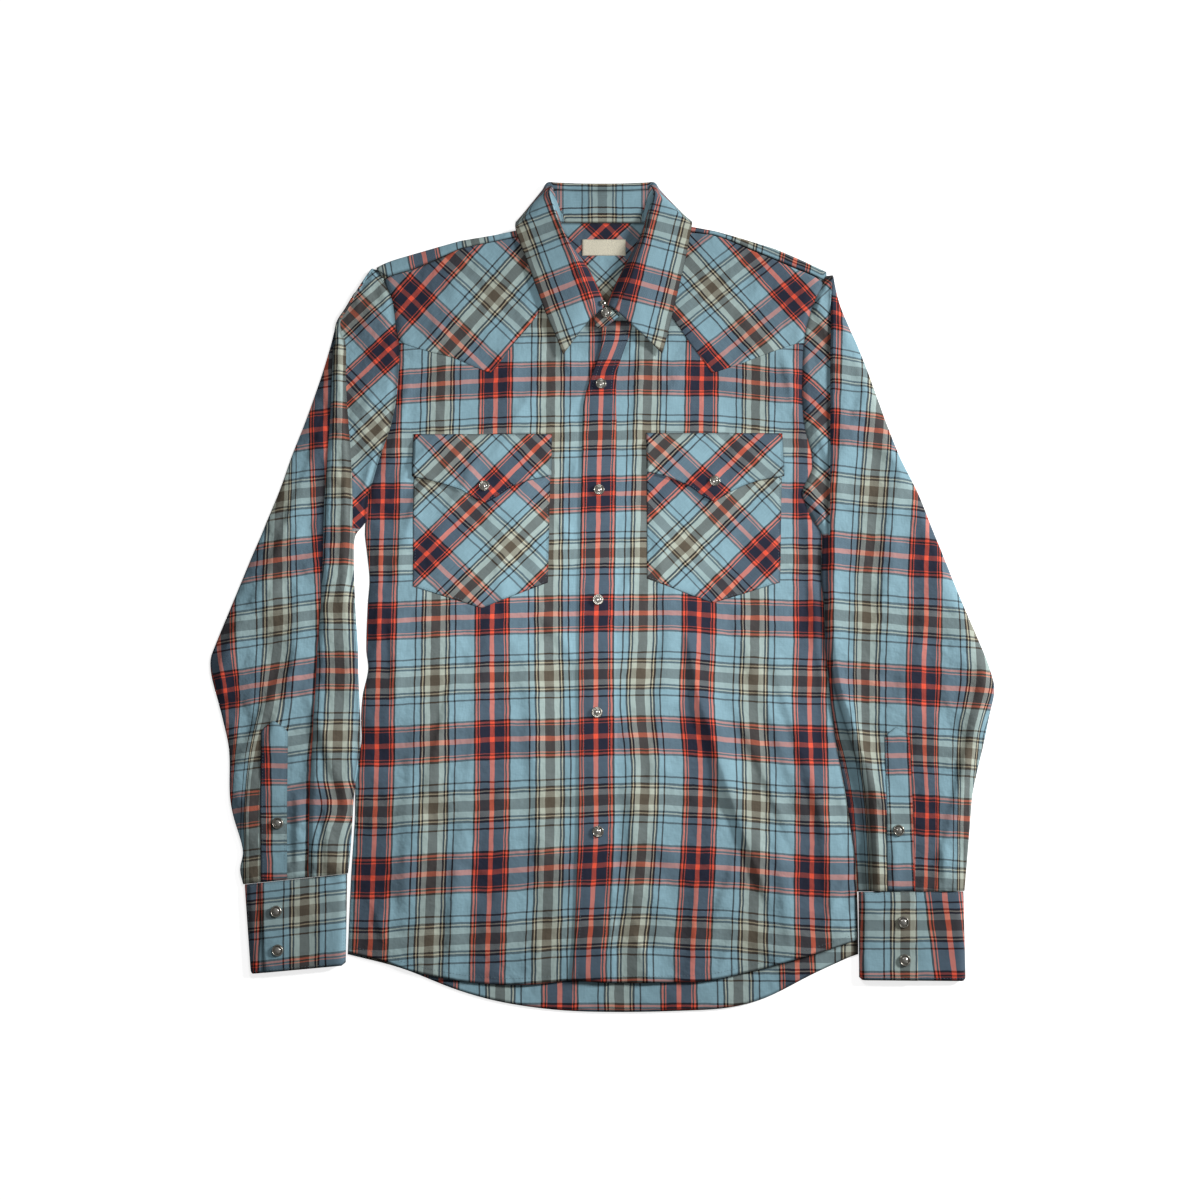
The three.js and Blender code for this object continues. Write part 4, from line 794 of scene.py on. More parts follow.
def leftSleeve():
    y = sleeveRows(sleeveLeft, "left")
    out, lap, fold, inner = [read(sleeveLeft, name, y) for name in ("out", "lap", "fold", "inner")]
    counts = (44, 16, 14)
    x = blockRun([out, lap - 0.5, fold + 0.0, inner], counts)
    ends = np.cumsum(counts)
    y = y + np.zeros_like(x)
    body, strip, cap = slice(0, ends[0]), slice(ends[0], ends[1]), slice(ends[1], ends[2])
    lift = sleeveLie["raise"] * ease((318 - y) / 60)
    x[:, ends[0]] += 0.9
    x[:, ends[1]] += 0.9
    z = np.full_like(x, sleeveLie["flat"])
    away = x - out
    z[:, body] = (2.4 + 2.8 * np.sqrt(ease(away / 13)))[:, body]
    rolled = np.minimum(x - lap, fold - x)
    z[:, strip] += (lift * (0.1 + 0.9 * ease(rolled / 5.5)))[:, strip]
    atArmhole = ease((y - armholeEnd + 4) / 10)
    seam = -1.3 * (1 - ease((inner - x) / 5)) * atArmhole
    fall = mix(3.0, sleeveLie["cap"], ease((inner - x) / np.maximum(inner - fold, 1)))
    z[:, cap] = (mix(fall, sleeveLie["cap"], atArmhole) + seam)[:, cap]
    creases = 1.5 * ridges(sleeveLie["leftCreases"], x, y) + 0.7 * unevenness(x, y, 61, 60) + 0.36 * unevenness(x, y, 63, 24)
    z += creases * ease(away / 12) * ease((inner - x) / 6)
    # painted shade along the lying fold's two edges and along the inner edge at the armhole
    paintedShade = 0.75 * np.exp(-(((x - lap) / 1.5) ** 2)) * ease((318 - y) / 30) + 0.6 * np.exp(-(((x - fold) / 1.6) ** 2)) * ease((318 - y) / 30)
    paintedShade += np.exp(-(((inner - x) / 1.3) ** 2)) * atArmhole
    x, z = tuckUnder(x, z, y, 3.0, False)
    ends[2] += 1
    x, z = ringOf(x, z, 0.0)
    x[:, ends[2]:] = mix(inner, out, np.linspace(0, 1, x.shape[1] - ends[2] + 1)[:-1][None, :])
    y = np.concatenate([y, y[:, :1] + np.zeros((len(y), x.shape[1] - y.shape[1]))], axis=1)
    y = bendToCuff("left", x, y, -278.0)
    paintedShade = np.pad(paintedShade, ((0, 0), (0, x.shape[1] - paintedShade.shape[1])))
    # warp and weft: the outer part and the lying fold run down the sleeve, the cap lies across the bias
    near = smooth([350, 188, 123, 64, 4, -41, -120, -164, -198, -278], [-300, -296, -292, -288, -282, -280, -281, -283, -282, -280], y)
    brown = smooth([350, 123, 40, -41, -85, -107, -159, -198, -278], [-330, -323, -322, -319, -323, -325, -335, -337, -334], y)
    far = smooth([350, 20, -18, -51, -107, -161, -278], [-366, -366, -364, -361, -355, -357, -360], y)
    outerWarp = np.where(x > near, 0.139 - (x - near) / 113, np.where(x > brown, 0.139 + 0.361 * (near - x) / (near - brown), 0.5 + 0.361 * (brown - x) / (brown - far)))
    slant = (x + 290) / 70
    outerWeft = placeBetween(y, [line + rise * slant for line, rise in ((440, 7), (315, 6), (175, 7), (44, 10), (-78, 12), (-200, 9), (-322, 8))], -1.0)
    stripBrown = smooth([350, 136, 38, -7, -76, -172, -205, -236, -278], [-262, -257, -256, -260, -256, -255, -249, -256, -257], y)
    stripWeft = placeBetween(y, [440, 315, 184, 54, -72, -200, -325], -1.0)
    capWarp, capWeft = crossing(x, y, (-218, 261), 45.0, 107.4, -47.3, 131.4)
    capWarp = np.where(y > armholeEnd - 8, capWarp, 0.5 + (x - stripBrown) / 113)
    capWeft = np.where(y > armholeEnd - 8, capWeft, stripWeft)
    maps = [
        (0, ends[0], outerWarp, outerWeft), (ends[0], ends[1], 0.5 + (x - stripBrown) / 113, stripWeft),
        (ends[1], ends[2], capWarp, capWeft), (ends[2], 999, (x + 282) / 113, stripWeft),
    ]
    return clothPiece(
        "leftSleeve", x, y, z, maps, "sleeve_plaid", 0.7, ["sleeve_left"], isTube=True,
        paintedShade=paintedShade,
    )


def rightSleeve():
    y = sleeveRows(sleeveRight, "right")
    out, fold, inner = [read(sleeveRight, name, y) for name in ("out", "fold", "inner")]
    inner = np.where(y < armholeEnd, np.minimum(inner, read(bodyEdge, "right", y) + 0.1), inner)
    counts = (18, 60)
    x = blockRun([inner, fold, out], counts)
    ends = np.cumsum(counts)
    y = y + np.zeros_like(x)
    cap, body = slice(0, ends[0]), slice(ends[0], ends[1])
    x[:, ends[0]] += 0.9
    reachIn = mix(30.0, 12.0, ease((40 - y) / 150))
    lift = sleeveLie["raise"] * ease((330 - y) / 50) * mix(1.0, 0.8, ease((-40 - y) / 100))
    into = x - fold
    z = np.full_like(x, sleeveLie["flat"])
    crest = ease((into + 1) / 3.5) * (1 - 0.85 * ease((into - 3) / reachIn))
    rolled = lift * (0.35 + 0.65 * crest) * (1 - 0.35 * ease((into - 3) / reachIn)) * ease((out - x) / 8)
    z[:, body] = (2.4 + 2.8 * np.sqrt(ease((out - x) / 13)) + rolled * ease((into + 0.5) / 3.6) - 1.1 * (1 - ease(into / 3)))[:, body]
    atArmhole = ease((y - armholeEnd + 4) / 10)
    seam = -1.3 * (1 - ease((x - inner) / 5)) * atArmhole
    across = ease((x - inner) / np.maximum(fold - inner, 1))
    hollow = ease((-40 - y) / 40)
    fall = mix(mix(1.7, sleeveLie["cap"] - 1.6, across), mix(1.2, 1.5, across), hollow)
    underTip = ease((114 - y) / 10) * ease((y - 40) / 20)
    level = mix(sleeveLie["cap"], 2.6, underTip)
    z[:, cap] = (mix(fall, level, atArmhole) + seam * (1 - 0.6 * underTip))[:, cap]
    creases = 1.5 * ridges(sleeveLie["rightCreases"], x, y) + 0.7 * unevenness(x, y, 71, 60) + 0.36 * unevenness(x, y, 73, 24)
    z += creases * ease((out - x) / 12) * ease((x - inner) / 6)
    # painted shade along the fold's edge and the inner edge, and over the hollow that lies in shadow beside the fold
    paintedShade = 0.8 * np.exp(-(((x - fold + 0.8) / 1.5) ** 2)) + np.exp(-(((x - inner) / 1.6) ** 2))
    paintedShade += 0.45 * hollow * (x < fold) * ease((x - inner) / 3)
    x, z = tuckUnder(x, z, y, -3.0, True)
    paintedShade = np.pad(paintedShade, ((0, 0), (1, 0)), mode="edge")
    ends = ends + 1
    x, z = ringOf(x, z, 0.0)
    x[:, ends[1]:] = mix(out, inner - 2.5, np.linspace(0, 1, x.shape[1] - ends[1] + 1)[1:][None, :])
    y = np.concatenate([y, y[:, :1] + np.zeros((len(y), x.shape[1] - y.shape[1]))], axis=1)
    y = bendToCuff("right", x, y, -284.0)
    paintedShade = np.pad(paintedShade, ((0, 0), (0, x.shape[1] - paintedShade.shape[1])))
    brown = smooth([343, 228, 175, 107, 49, 19, -23, -76, -149, -209, -284], [302, 291, 284, 276, 270, 266, 264, 261, 259, 263, 264], y)
    near = smooth([343, 315, 279, 190, 124, 59, -1, -82, -127, -164, -208, -284], [252, 250, 248, 243, 238, 233, 231, 228, 232, 240, 246, 248], y)
    orange = smooth([343, 175, 86, 40, -13, -76, -158, -199, -239, -284], [360, 342, 331, 327, 324, 319, 317, 317, 315, 312], y)
    far = smooth([343, 40, -1, -34, -81, -140, -284], [410, 378, 375, 376, 375, 360, 352], y)
    inwardPart = -0.5 - 0.361 * (brown - x) / (brown - near)
    middlePart = -0.5 * (orange - x) / (orange - brown)
    warp = np.where(x < brown, inwardPart, np.where(x < orange, middlePart, 0.5 * (x - orange) / (far - orange)))
    slant = (x - 235) / 140
    weft = placeBetween(y, [line + drop * slant for line, drop in ((430, -20), (302, -19), (179, -14), (49, -11), (-82, -9), (-207, -10), (-335, -8))], -1.0)
    capWeft, capWarp = crossing(x, y, (192, 230), 45.0, 112.0, -43.9, 122.0)
    capWarp = np.where(y > armholeEnd - 12, capWarp, warp)
    capWeft = np.where(y > armholeEnd - 12, capWeft, weft)
    maps = [(0, ends[0], capWarp, capWeft), (ends[0], ends[1], warp, weft), (ends[1], 999, (x - 205) / 113, weft)]
    return clothPiece(
        "rightSleeve", x, y, z, maps, "sleeve_plaid", 0.7, ["sleeve_right"], isTube=True,
        paintedShade=paintedShade,
    )


leftSleeve()
rightSleeve()
print("sleeves made")

# pointed plackets above the cuffs
sleevePlackets = {
    "left": {
        "rows": [(-121.5, -320, -318), (-127, -327, -310), (-132, -331, -305), (-205, -329, -303), (-274, -325, -300)],
        "check": ((-339, -44), 1.0, 121),
    },
    "right": {
        "rows": [(-127.5, 289, 291), (-133, 282, 299), (-137, 278, 303), (-205, 277, 303), (-283.5, 275.5, 302)],
        "check": ((317, -33), 1.2, 122),
    },
}
trimGrids = []
for side, strip in sleevePlackets.items():
    keys, lefts, rights = np.array(strip["rows"], float).T
    down = np.concatenate([np.linspace(keys[0], keys[2], 7), np.arange(keys[2] - 3, keys[-1], -4.0), [keys[-1]]])
    share = shares(12, 26)[None, :]
    y = down[:, None] + np.zeros_like(share)
    x = mix(np.interp(down, keys[::-1], lefts[::-1])[:, None], np.interp(down, keys[::-1], rights[::-1])[:, None], share)
    y = bendToCuff(side, x, y, keys[-1])
    creases = 1.5 * ridges(sleeveLie[side + "Creases"], x, y) + 0.7 * unevenness(x, y, 61 if side == "left" else 71, 60)
    z = sleeveLie["flat"] + 1.3 + np.maximum(creases, 0) + sewnEdge(x, y, 2.0, 0.2)
    (cx, cy), lean, width = strip["check"]
    stripMap = (0, 99, (x - cx + (y + 140) * 0.06 * (1 if side == "left" else 0)) / 113, (cy - y) / width)
    clothPiece(
        side + "SleevePlacket", x, y, z, [stripMap], "placket_plaid", 1.0, ["sleeve_placket_" + side],
    )
    trimGrids.append((x, y, z, ("left", "top", "right")))

# cuffs, pressed flat, one end lapped over the other
for side, cuff in cuffs.items():
    (tl, tr), (bl, br) = cuff["top"], cuff["bottom"]
    share = np.concatenate([np.linspace(0, cuff["lap"], 24), np.linspace(cuff["lap"], 1, 24)])[None, :]
    down = np.linspace(0, 1, 30)[:, None]
    x = mix(mix(tl[0], tr[0], share), mix(bl[0], br[0], share), down)
    rounded = np.maximum(0, 1 - np.minimum(share, 1 - share) * 100 / 3.0) ** 2 * 2.6
    y = mix(mix(tl[1], tr[1], share), mix(bl[1], br[1], share) + rounded, down)
    x[:, 24] += 0.7
    width = x[:, -1:] - x[:, :1]
    sideways = np.minimum(x - x[:, :1], x[:, -1:] - x)
    lifted = np.arange(48)[None, :] >= 24 if cuff["above"] else np.arange(48)[None, :] < 24
    endways = np.minimum(down, 1 - down) * 83
    z = 2.6 + 2.9 * np.sqrt(ease(sideways / 7)) + 1.35 * lifted * ease(sideways / 3)
    z += -0.5 * (1 - ease(endways / 2.0)) - 0.22 * np.exp(-(((endways - 4.5) / 1.2) ** 2)) + 0.2 * unevenness(x, y, 81, 40) * ease(sideways / 8)
    cuffTop = (x.copy(), y.copy(), z.copy())
    trimGrids.append((*cuffTop, ("left", "bottom", "right", "top")))
    # painted shade along the cuff's top and bottom edges and beside the edge of the lapped end lying over it
    paintedShade = 0.8 * np.exp(-((endways / 1.2) ** 2)) + 0.8 * np.exp(-(((x - x[:, 23:24]) / 1.3) ** 2)) * (np.arange(48)[None, :] < 24 if cuff["above"] else np.arange(48)[None, :] >= 24)
    paintedShade = np.pad(paintedShade, ((0, 0), (0, 12)))
    fullX, fullZ = ringOf(x, z, 0.0, 12)
    backY = mix(y[:, -1:], y[:, :1], np.linspace(0, 1, 14)[1:-1][None, :])
    x, y, z = fullX, np.concatenate([y, backY], axis=1), fullZ
    if side == "left":
        brown = smooth([-357, -274], [-280, -283], y)
        warp = np.where(np.arange(x.shape[1])[None, :] < 24, 0.125 + (x + 327) / 113, 0.5 + (x - brown) / 113)
        weft = 0.5 + (-308 + (x + 334) * 10 / 86 - y) / 122
        maps = [(0, 24, 0.125 + (x + 327) / 113, weft), (24, 999, 0.5 + (x - brown) / 113, weft)]
    else:
        brown = smooth([-357, -292], [289, 292], y)
        orange = smooth([-362, -288], [336, 330], y)
        weft = 0.5 + (-316 - y) / 122
        maps = [(0, 24, 0.5 + (x - brown) / 113, weft), (24, 48, (x - orange) / 125, weft), (48, 999, 0.5 + (x - brown) / 113, weft)]
    clothPiece(
        side + "Cuff", x, y, z, maps, "cuff_plaid", 1.3, ["cuff_" + side], isTube=True,
        paintedShade=paintedShade,
    )
print("cuffs made")

# back yoke: from the back seam, round the folded shoulders, to the seams of the front yokes
shoulders = {
    "columns": ["x", "edge", "seam", "under"],
    "rows": [
        (-233, 352, 349.4, 348), (-227, 355.5, 345.4, 339.5), (-222, 358, 341.6, 333), (-214, 361, 344.5, 310),
        (-211, 362, 345.5, 290), (-195, 367, 350.4, 290), (-171, 374.5, 361.4, 290), (-146, 382, 373.4, 290),
        (-110, 388.5, 381.4, 290), (-80, 395.5, 388.4, 290), (-62, 399, 395.4, 290), (-52, 400, 398, 290),
        (48, 400, 398, 290), (70, 400, 395.4, 290), (92, 398.5, 392.8, 290), (120, 393, 388.4, 290),
        (139, 387.5, 381.4, 290), (156, 382, 373.4, 290), (183, 373, 361.4, 290), (207, 362, 350.4, 290),
        (215, 358, 347.2, 290), (220, 355.5, 345, 308), (227, 352, 341.4, 323), (232, 349.5, 338, 334),
        (236, 347.5, 343, 341),
    ],
}
keys = np.array([row[0] for row in shoulders["rows"]], float)
across = np.linspace(-233, 236, 150)
edge, seam, under = [np.interp(across, keys, [row[k] for row in shoulders["rows"]])[:, None] for k in (1, 2, 3)]
open_ = (ease((across + 62) / 8) * ease((62 - across) / 8))[:, None]
height = mix(5.0, 1.1, open_)
turn = np.linspace(0, math.pi, 9)[None, :]
top = np.linspace(0, 1, 6)[None, :-1]
low = np.linspace(0, 1, 22)[None, 1:]
flatPart = edge - 2.4
yTop = mix(seam - 0.6, flatPart, top)
zTop = height + 0.35 * np.exp(-((top - 0.45) / 0.3) ** 2) * (1 - open_)
yTurn = flatPart + 2.4 * np.sin(turn)
zTurn = height / 2 + height / 2 * np.cos(turn)
yLow = mix(flatPart, np.minimum(under, flatPart - 1), low)
y = np.concatenate([yTop, yTurn, yLow], axis=1)
z = np.concatenate([zTop + np.zeros_like(yTop), zTurn, np.zeros_like(yLow)], axis=1)
x = across[:, None] + np.zeros_like(y)
strip = np.cumsum(np.pad(np.hypot(np.diff(y, axis=1), np.diff(z, axis=1)), ((0, 0), (1, 0))), axis=1)
yokeWarp = np.where(x < 0, (x + 184.9 + 0.2 * (y - 370)) / 113, (x - 206 + 0.2 * (370 - y)) / 113)
yokeWeft = np.where(x < 0, 0.18, 0.34) + strip / 122
clothPiece(
    "backYoke", x, y, z, [(0, 999, yokeWarp, yokeWeft)], "yoke_plaid", 0.8, ["back_yoke"],
)

# inner yoke in the open neck, and the bare label on it
y = np.linspace(402.5, 300, 32)[:, None] + np.zeros(36)[None, :]
left = np.interp(y, [300, 345, 396], [-12, -48, -50])
right = np.interp(y, [300, 340, 396], [16, 50, 56])
x = mix(left, right, np.linspace(0, 1, 36)[None, :])
z = 2.4 + 0.3 * unevenness(x, y, 91, 40) * ease(edgeDistance(x, y) / 8) + ridges([(-6, 350, 70, 24, 5, 5, 0.4), (20, 345, 105, 24, 5, 5, 0.4)], x, y)
innerMap = (0, 99, *crossing(x, y, (6, 400.4), 45.0, 117, -45.0, 117))
clothPiece("innerYoke", x, y, z, [innerMap], "bias_plaid", 0.8, ["inner_yoke"])
labelY = np.linspace(383.6, 365.6, 14)[:, None] + np.zeros(30)[None, :]
labelX = np.linspace(-18.8, 26.8, 30)[None, :] + np.zeros_like(labelY)
labelZ = 3.25 + 0.15 * unevenness(labelX, labelY, 93, 30) + sewnEdge(labelX, labelY, 1.4, 0.12) * 0.6
clothPiece(
    "neckLabel", labelX, labelY, labelZ, [(0, 99, labelX / 113, labelY / 113)], "label_tape", 0.5, ["label"],
)
print("yokes and label made")

# collar, section by section from the left tip round the back to the right tip
collarSections = {
    "neck": [
        (4, 304, 6.0), (3, 314, 6.0), (-4, 331, 5.6), (-15, 353, 5.4), (-30, 374, 5.0), (-38, 387, 4.2), (-42, 396, 2.8),
        (-42, 399, 2.3), (-38, 399, 2.2), (-30, 399, 2.2), (-12, 399, 2.2), (16, 399, 2.2), (36, 399, 2.2), (44, 399, 2.2),
        (48, 399, 2.3), (48, 396, 2.8), (44, 386, 4.2), (37, 373, 5.0), (27, 353, 5.4), (17, 332, 6.4), (11, 317, 7.6),
        (8, 308, 8.3),
    ],
    "fold": [
        (-8, 296, 8.9), (-12, 309, 11.2), (-20, 331, 13.0), (-30, 358, 13.5), (-40, 384, 12.4), (-48, 405, 10.0),
        (-54, 425, 7.6), (-57.5, 437.5, 5.4), (-55, 446.5, 3.6), (-44, 446.5, 3.2), (-18, 445.5, 3.2), (20, 445.5, 3.2),
        (46, 446.5, 3.2), (57, 446.5, 3.6), (59.5, 437.5, 5.4), (58, 427, 7.6), (53, 406, 10.0), (48, 383, 12.4),
        (39, 356, 13.5), (30, 330, 13.0), (22, 313, 12.0), (16.5, 302, 10.9),
    ],
    "edge": [
        (-38, 255, 7.0), (-46, 276, 7.0), (-57, 303, 7.0), (-68, 334, 7.0), (-77, 360, 7.0), (-84, 379, 6.9),
        (-87.5, 389, 6.8), (-88.5, 400, 4.2), (-84, 404, 1.7), (-62, 405, 0.6), (-24, 405, 0.6), (26, 405, 0.6),
        (66, 405, 0.6), (89, 405, 1.7), (96, 402, 4.2), (95.5, 394, 6.8), (93, 380, 6.9), (88, 355, 7.0), (81, 325, 7.0),
        (75, 300, 7.4), (70, 278, 7.6), (64, 256, 7.6),
    ],
    "under": [0, 0, 0, 0, 0, 0, 0.2, 0.55, 0.9, 1, 1, 1, 1, 0.9, 0.55, 0.2, 0, 0, 0, 0, 0, 0],
}
sectionKeys = np.arange(22.0)
t = np.linspace(0, 21, 190)


def sectionCurve(name):
    return np.stack([smooth(sectionKeys, [row[k] for row in collarSections[name]], t) for k in range(3)], axis=-1)


neckCurve, foldCurve, edgeCurve = sectionCurve("neck"), sectionCurve("fold"), sectionCurve("edge")
neckCurve[:, 1] += 3.5 * ease((neckCurve[:, 1] - 372) / 24)
under = np.clip(smooth(sectionKeys, collarSections["under"], t), 0, 1)[:, None]
along = np.gradient(foldCurve[:, :2], axis=0)
along /= np.hypot(along[:, 0], along[:, 1])[:, None]
inwards = np.stack([along[:, 1], -along[:, 0], np.zeros(len(t))], axis=-1)
lift = np.array([0, 0, 1.0])
seamCurve = foldCurve + inwards * mix(1.0, 8.2, under**2) + lift * mix(-0.2, 1.7, under)
bandTop = seamCurve + inwards * 0.35
wings = (1 - ease((t - 6.3) / 2.4)) + (1 - ease((14.7 - t) / 2.4))
wings = np.clip(wings, 0, 1)[:, None]
isLeft = (t < 10.5)[:, None]
collarCheck = {
    "left": {"edge": (-75.1, 359.0), "tip": (-37.4, 253.2), "brown": (-60.6, 390.7), "warp": 113.0, "weft": 136.0},
    "right": {"edge": (88.3, 359.4), "tip": (63.5, 255.7), "brown": (71.0, 392.2), "warp": 113.0, "weft": 134.0},
}


def wingPlaces(side, x, y):
    # distances from the wing's outer edge, and down along it
    check = collarCheck[side]
    down = np.subtract(check["tip"], check["edge"])
    down = down / np.hypot(*down)
    inward = np.array([-down[1], down[0]]) * (1 if side == "left" else -1)
    u = 0.49 - ((x - check["edge"][0]) * inward[0] + (y - check["edge"][1]) * inward[1]) / check["warp"]
    v = 0.5 + ((x - check["brown"][0]) * down[0] + (y - check["brown"][1]) * down[1]) / check["weft"]
    return u, v


def collarPlaces(x, y, backWarp, nearNeck):
    leftU, leftV = wingPlaces("left", x, y)
    rightU, rightV = wingPlaces("right", x, y)
    backV = 0.5 - np.abs(x - 2.5) / 120
    wingU, wingV = np.where(isLeft, leftU, rightU), np.where(isLeft, leftV, rightV)
    if nearNeck is not None:
        wingU = nearNeck
    return mix(backWarp, wingU, wings), mix(backV, -(wingV - 1.0) * 0 + wingV, wings)


def profile(points, count):
    # a smooth curve through the points of every section at once
    keys = np.linspace(0, 1, len(points))
    out = np.linspace(0, 1, count)
    stack = np.stack(points)
    slopes = np.gradient(stack, keys, axis=0)
    at = np.clip(np.searchsorted(keys, out, side="right") - 1, 0, len(keys) - 2)
    step = keys[1] - keys[0]
    s = ((out - keys[at]) / step)[:, None, None]
    a, b = stack[at], stack[at + 1]
    curve = a + (b - a) * s + s * (1 - s) * ((1 - s) * (slopes[at] * step - (b - a)) - s * (slopes[at + 1] * step - (b - a)))
    return np.transpose(curve, (1, 0, 2))


def arcShare(curve):
    steps = np.linalg.norm(np.diff(curve, axis=1), axis=2)
    return np.pad(np.cumsum(steps, axis=1), ((0, 0), (1, 0)))


shoulder = mix(foldCurve, edgeCurve, 0.12)
shoulder[:, 2] = mix(shoulder[:, 2], 0.7, under[:, 0] ** 2)
middle = mix(foldCurve, edgeCurve, 0.5)
middle[:, 2] = mix(middle[:, 2] + 0.6, 0.6, under[:, 0] ** 2)
outer = mix(foldCurve, edgeCurve, 0.8)
outer[:, 2] = mix(outer[:, 2] + 0.4, 0.6, under[:, 0] ** 2)
leaf = profile([seamCurve, foldCurve, shoulder, middle, outer, edgeCurve], 34)[::-1]
leafArc = arcShare(leaf)
leafX, leafY = leaf[:, :, 0], leaf[:, :, 1]
isLeft, wings = isLeft[::-1], wings[::-1]
leafU, leafV = collarPlaces(leafX, leafY, 0.33 + leafArc / 113, None)
leafZ = leaf[:, :, 2] + 0.25 * unevenness(leafX, leafY, 95, 50) * wings
clothPiece(
    "collarLeaf", leafX, leafY, leafZ, [(0, 999, leafU, leafV)], "collar_plaid", 1.0, ["collar_leaf"],
)
bow = [mix(neckCurve, bandTop, share) + lift * (1.2 * (1 - under) * math.sin(math.pi * share)) for share in (0, 0.33, 0.67, 1)]
band = profile(bow, 18)[::-1]
bandArc = arcShare(band)
bandX, bandY = band[:, :, 0], band[:, :, 1]
bandU, bandV = collarPlaces(bandX, bandY, 0.45 - bandArc / 128, 0.0 + bandArc / 100)
clothPiece(
    "collarBand", bandX, bandY, band[:, :, 2], [(0, 999, bandU, bandV)], "collar_plaid", 1.2, ["collar_band"],
)
tabTop = np.array([(10, 307), (4, 303.6), (-2, 299.5), (-5.6, 294.5), (-6.2, 290)], float)
tabLow = np.array([(20, 295.5), (13, 290), (5, 284.5), (-1, 283), (-4.6, 286)], float)
s = np.linspace(0, 1, 24)
tabA = np.stack([smooth(np.linspace(0, 1, 5), tabTop[:, k], s) for k in range(2)], axis=-1)
tabB = np.stack([smooth(np.linspace(0, 1, 5), tabLow[:, k], s) for k in range(2)], axis=-1)
tab = mix(tabA[None, :, :], tabB[None, :, :], np.linspace(0, 1, 16)[:, None, None])[:, ::-1]
tabX, tabY = tab[:, :, 0], tab[:, :, 1]
tabZ = 9.2 + sewnEdge(tabX, tabY, 2.0, 0.2) + 1.0 * ease((tabX - 2) / 14)
clothPiece(
    "collarTab", tabX, tabY, tabZ, [(0, 99, *crossing(tabX, tabY, (24, 262), 42.0, 82, -48.0, 82))], "collar_plaid", 1.2,
    ["collar_tab"],
)
print("collar made")

# snaps: a rolled ring round a domed pearl centre
snapShape = {"radius": 5.6, "height": 2.6, "steps": 40}
snapProfile = [
    (0.0, 0.95), (0.14, 0.94), (0.3, 0.88), (0.46, 0.72), (0.58, 0.45), (0.66, 0.12), (0.7, 0.3), (0.76, 0.72), (0.83, 0.84),
    (0.9, 0.76), (0.97, 0.5), (1.0, 0.25), (0.98, 0.0),
]
snapPlaces = {
    "snap_placket_1": (1, 224, 6.4), "snap_placket_2": (-1, 112, 6.4), "snap_placket_3": (-2, -1, 6.4),
    "snap_placket_4": (-3, -113, 6.4), "snap_placket_5": (-2, -228, 6.4), "snap_collar": (6.4, 299.5, 9.8),
    "snap_pocket_left": (-117, 116, 6.9), "snap_pocket_right": (116, 121, 6.9), "snap_sleeve_left": (-311, -220, 6.9),
    "snap_sleeve_right": (288, -227, 6.9), "snap_cuff_left_1": (-309, -303, 6.9), "snap_cuff_left_2": (-306, -339, 6.9),
    "snap_cuff_right_1": (289, -313, 6.9), "snap_cuff_right_2": (289, -348, 6.9),
}
for node, (cx, cy, level) in snapPlaces.items():
    rims = np.array(snapProfile[1:]) * (snapShape["radius"], snapShape["height"])
    angle = np.linspace(0, math.tau, snapShape["steps"], endpoint=False)
    ringX = cx + rims[:, :1] * np.cos(angle)
    ringY = cy + rims[:, :1] * np.sin(angle)
    ringZ = level + rims[:, 1:] + np.zeros_like(ringX)
    steps = snapShape["steps"]
    places = np.stack([ringX, ringY, ringZ], axis=-1).reshape(-1, 3)
    places = np.vstack([places, [(cx, cy, level + snapShape["height"]), (cx, cy, level)]])
    places = (places - (origin["x"], origin["y"], 0)) / 1000
    k = np.arange(steps)
    after = (k + 1) % steps
    rings = len(rims)
    faces = [(int(len(places) - 2), int(a), int(b)) for a, b in zip(k, after)]
    faces += [(int(j * steps + a), int((j + 1) * steps + a), int((j + 1) * steps + b), int(j * steps + b)) for j in range(rings - 1) for a, b in zip(k, after)]
    faces += [(int(len(places) - 1), int((rings - 1) * steps + b), int((rings - 1) * steps + a)) for a, b in zip(k, after)]
    mesh = bpy.data.meshes.new(node + "_detail")
    mesh.from_pydata(places.tolist(), [], faces)
    mesh.materials.append(materials["snap_metal"])
    mesh.materials.append(snapPearl)
    pearlFaces = steps + steps * 4
    mesh.polygons.foreach_set("material_index", [1] * pearlFaces + [0] * (len(faces) - pearlFaces))
    mesh.polygons.foreach_set("use_smooth", [True] * len(faces))
    mesh.update()
    words = node.split("_")
    piece = bpy.data.objects.new(words[0] + "".join(word.title() for word in words[1:]) + "Cap", mesh)
    bpy.context.collection.objects.link(piece)
    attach(piece, "root")
    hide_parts(node)
socketMesh = bpy.data.meshes.new("bandEndSocket")
socketTurn = np.linspace(0, math.tau, 24, endpoint=False)
socketRings = np.array([(1.2, 0.5), (1.4, 1.2), (2.3, 1.5), (2.9, 1.1), (3.1, 0.0)])
socketX = 2.8 + socketRings[:, :1] * np.cos(socketTurn)
socketY = 309.8 + socketRings[:, :1] * np.sin(socketTurn)
socketPlaces = np.stack([socketX, socketY, 10.6 + socketRings[:, 1:] + np.zeros_like(socketX)], axis=-1).reshape(-1, 3)
socketFaces = [(j * 24 + k, (j + 1) * 24 + k, (j + 1) * 24 + (k + 1) % 24, j * 24 + (k + 1) % 24) for j in range(4) for k in range(24)]
socketFaces += [tuple(range(24)), tuple(range(119, 95, -1))]
socketMesh.from_pydata(((socketPlaces - (origin["x"], origin["y"], 0)) / 1000).tolist(), [], socketFaces)
socketMesh.materials.append(materials["snap_metal"])
socket = bpy.data.objects.new("bandEndSocket", socketMesh)
bpy.context.collection.objects.link(socket)
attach(socket, "root")
print("snaps made")


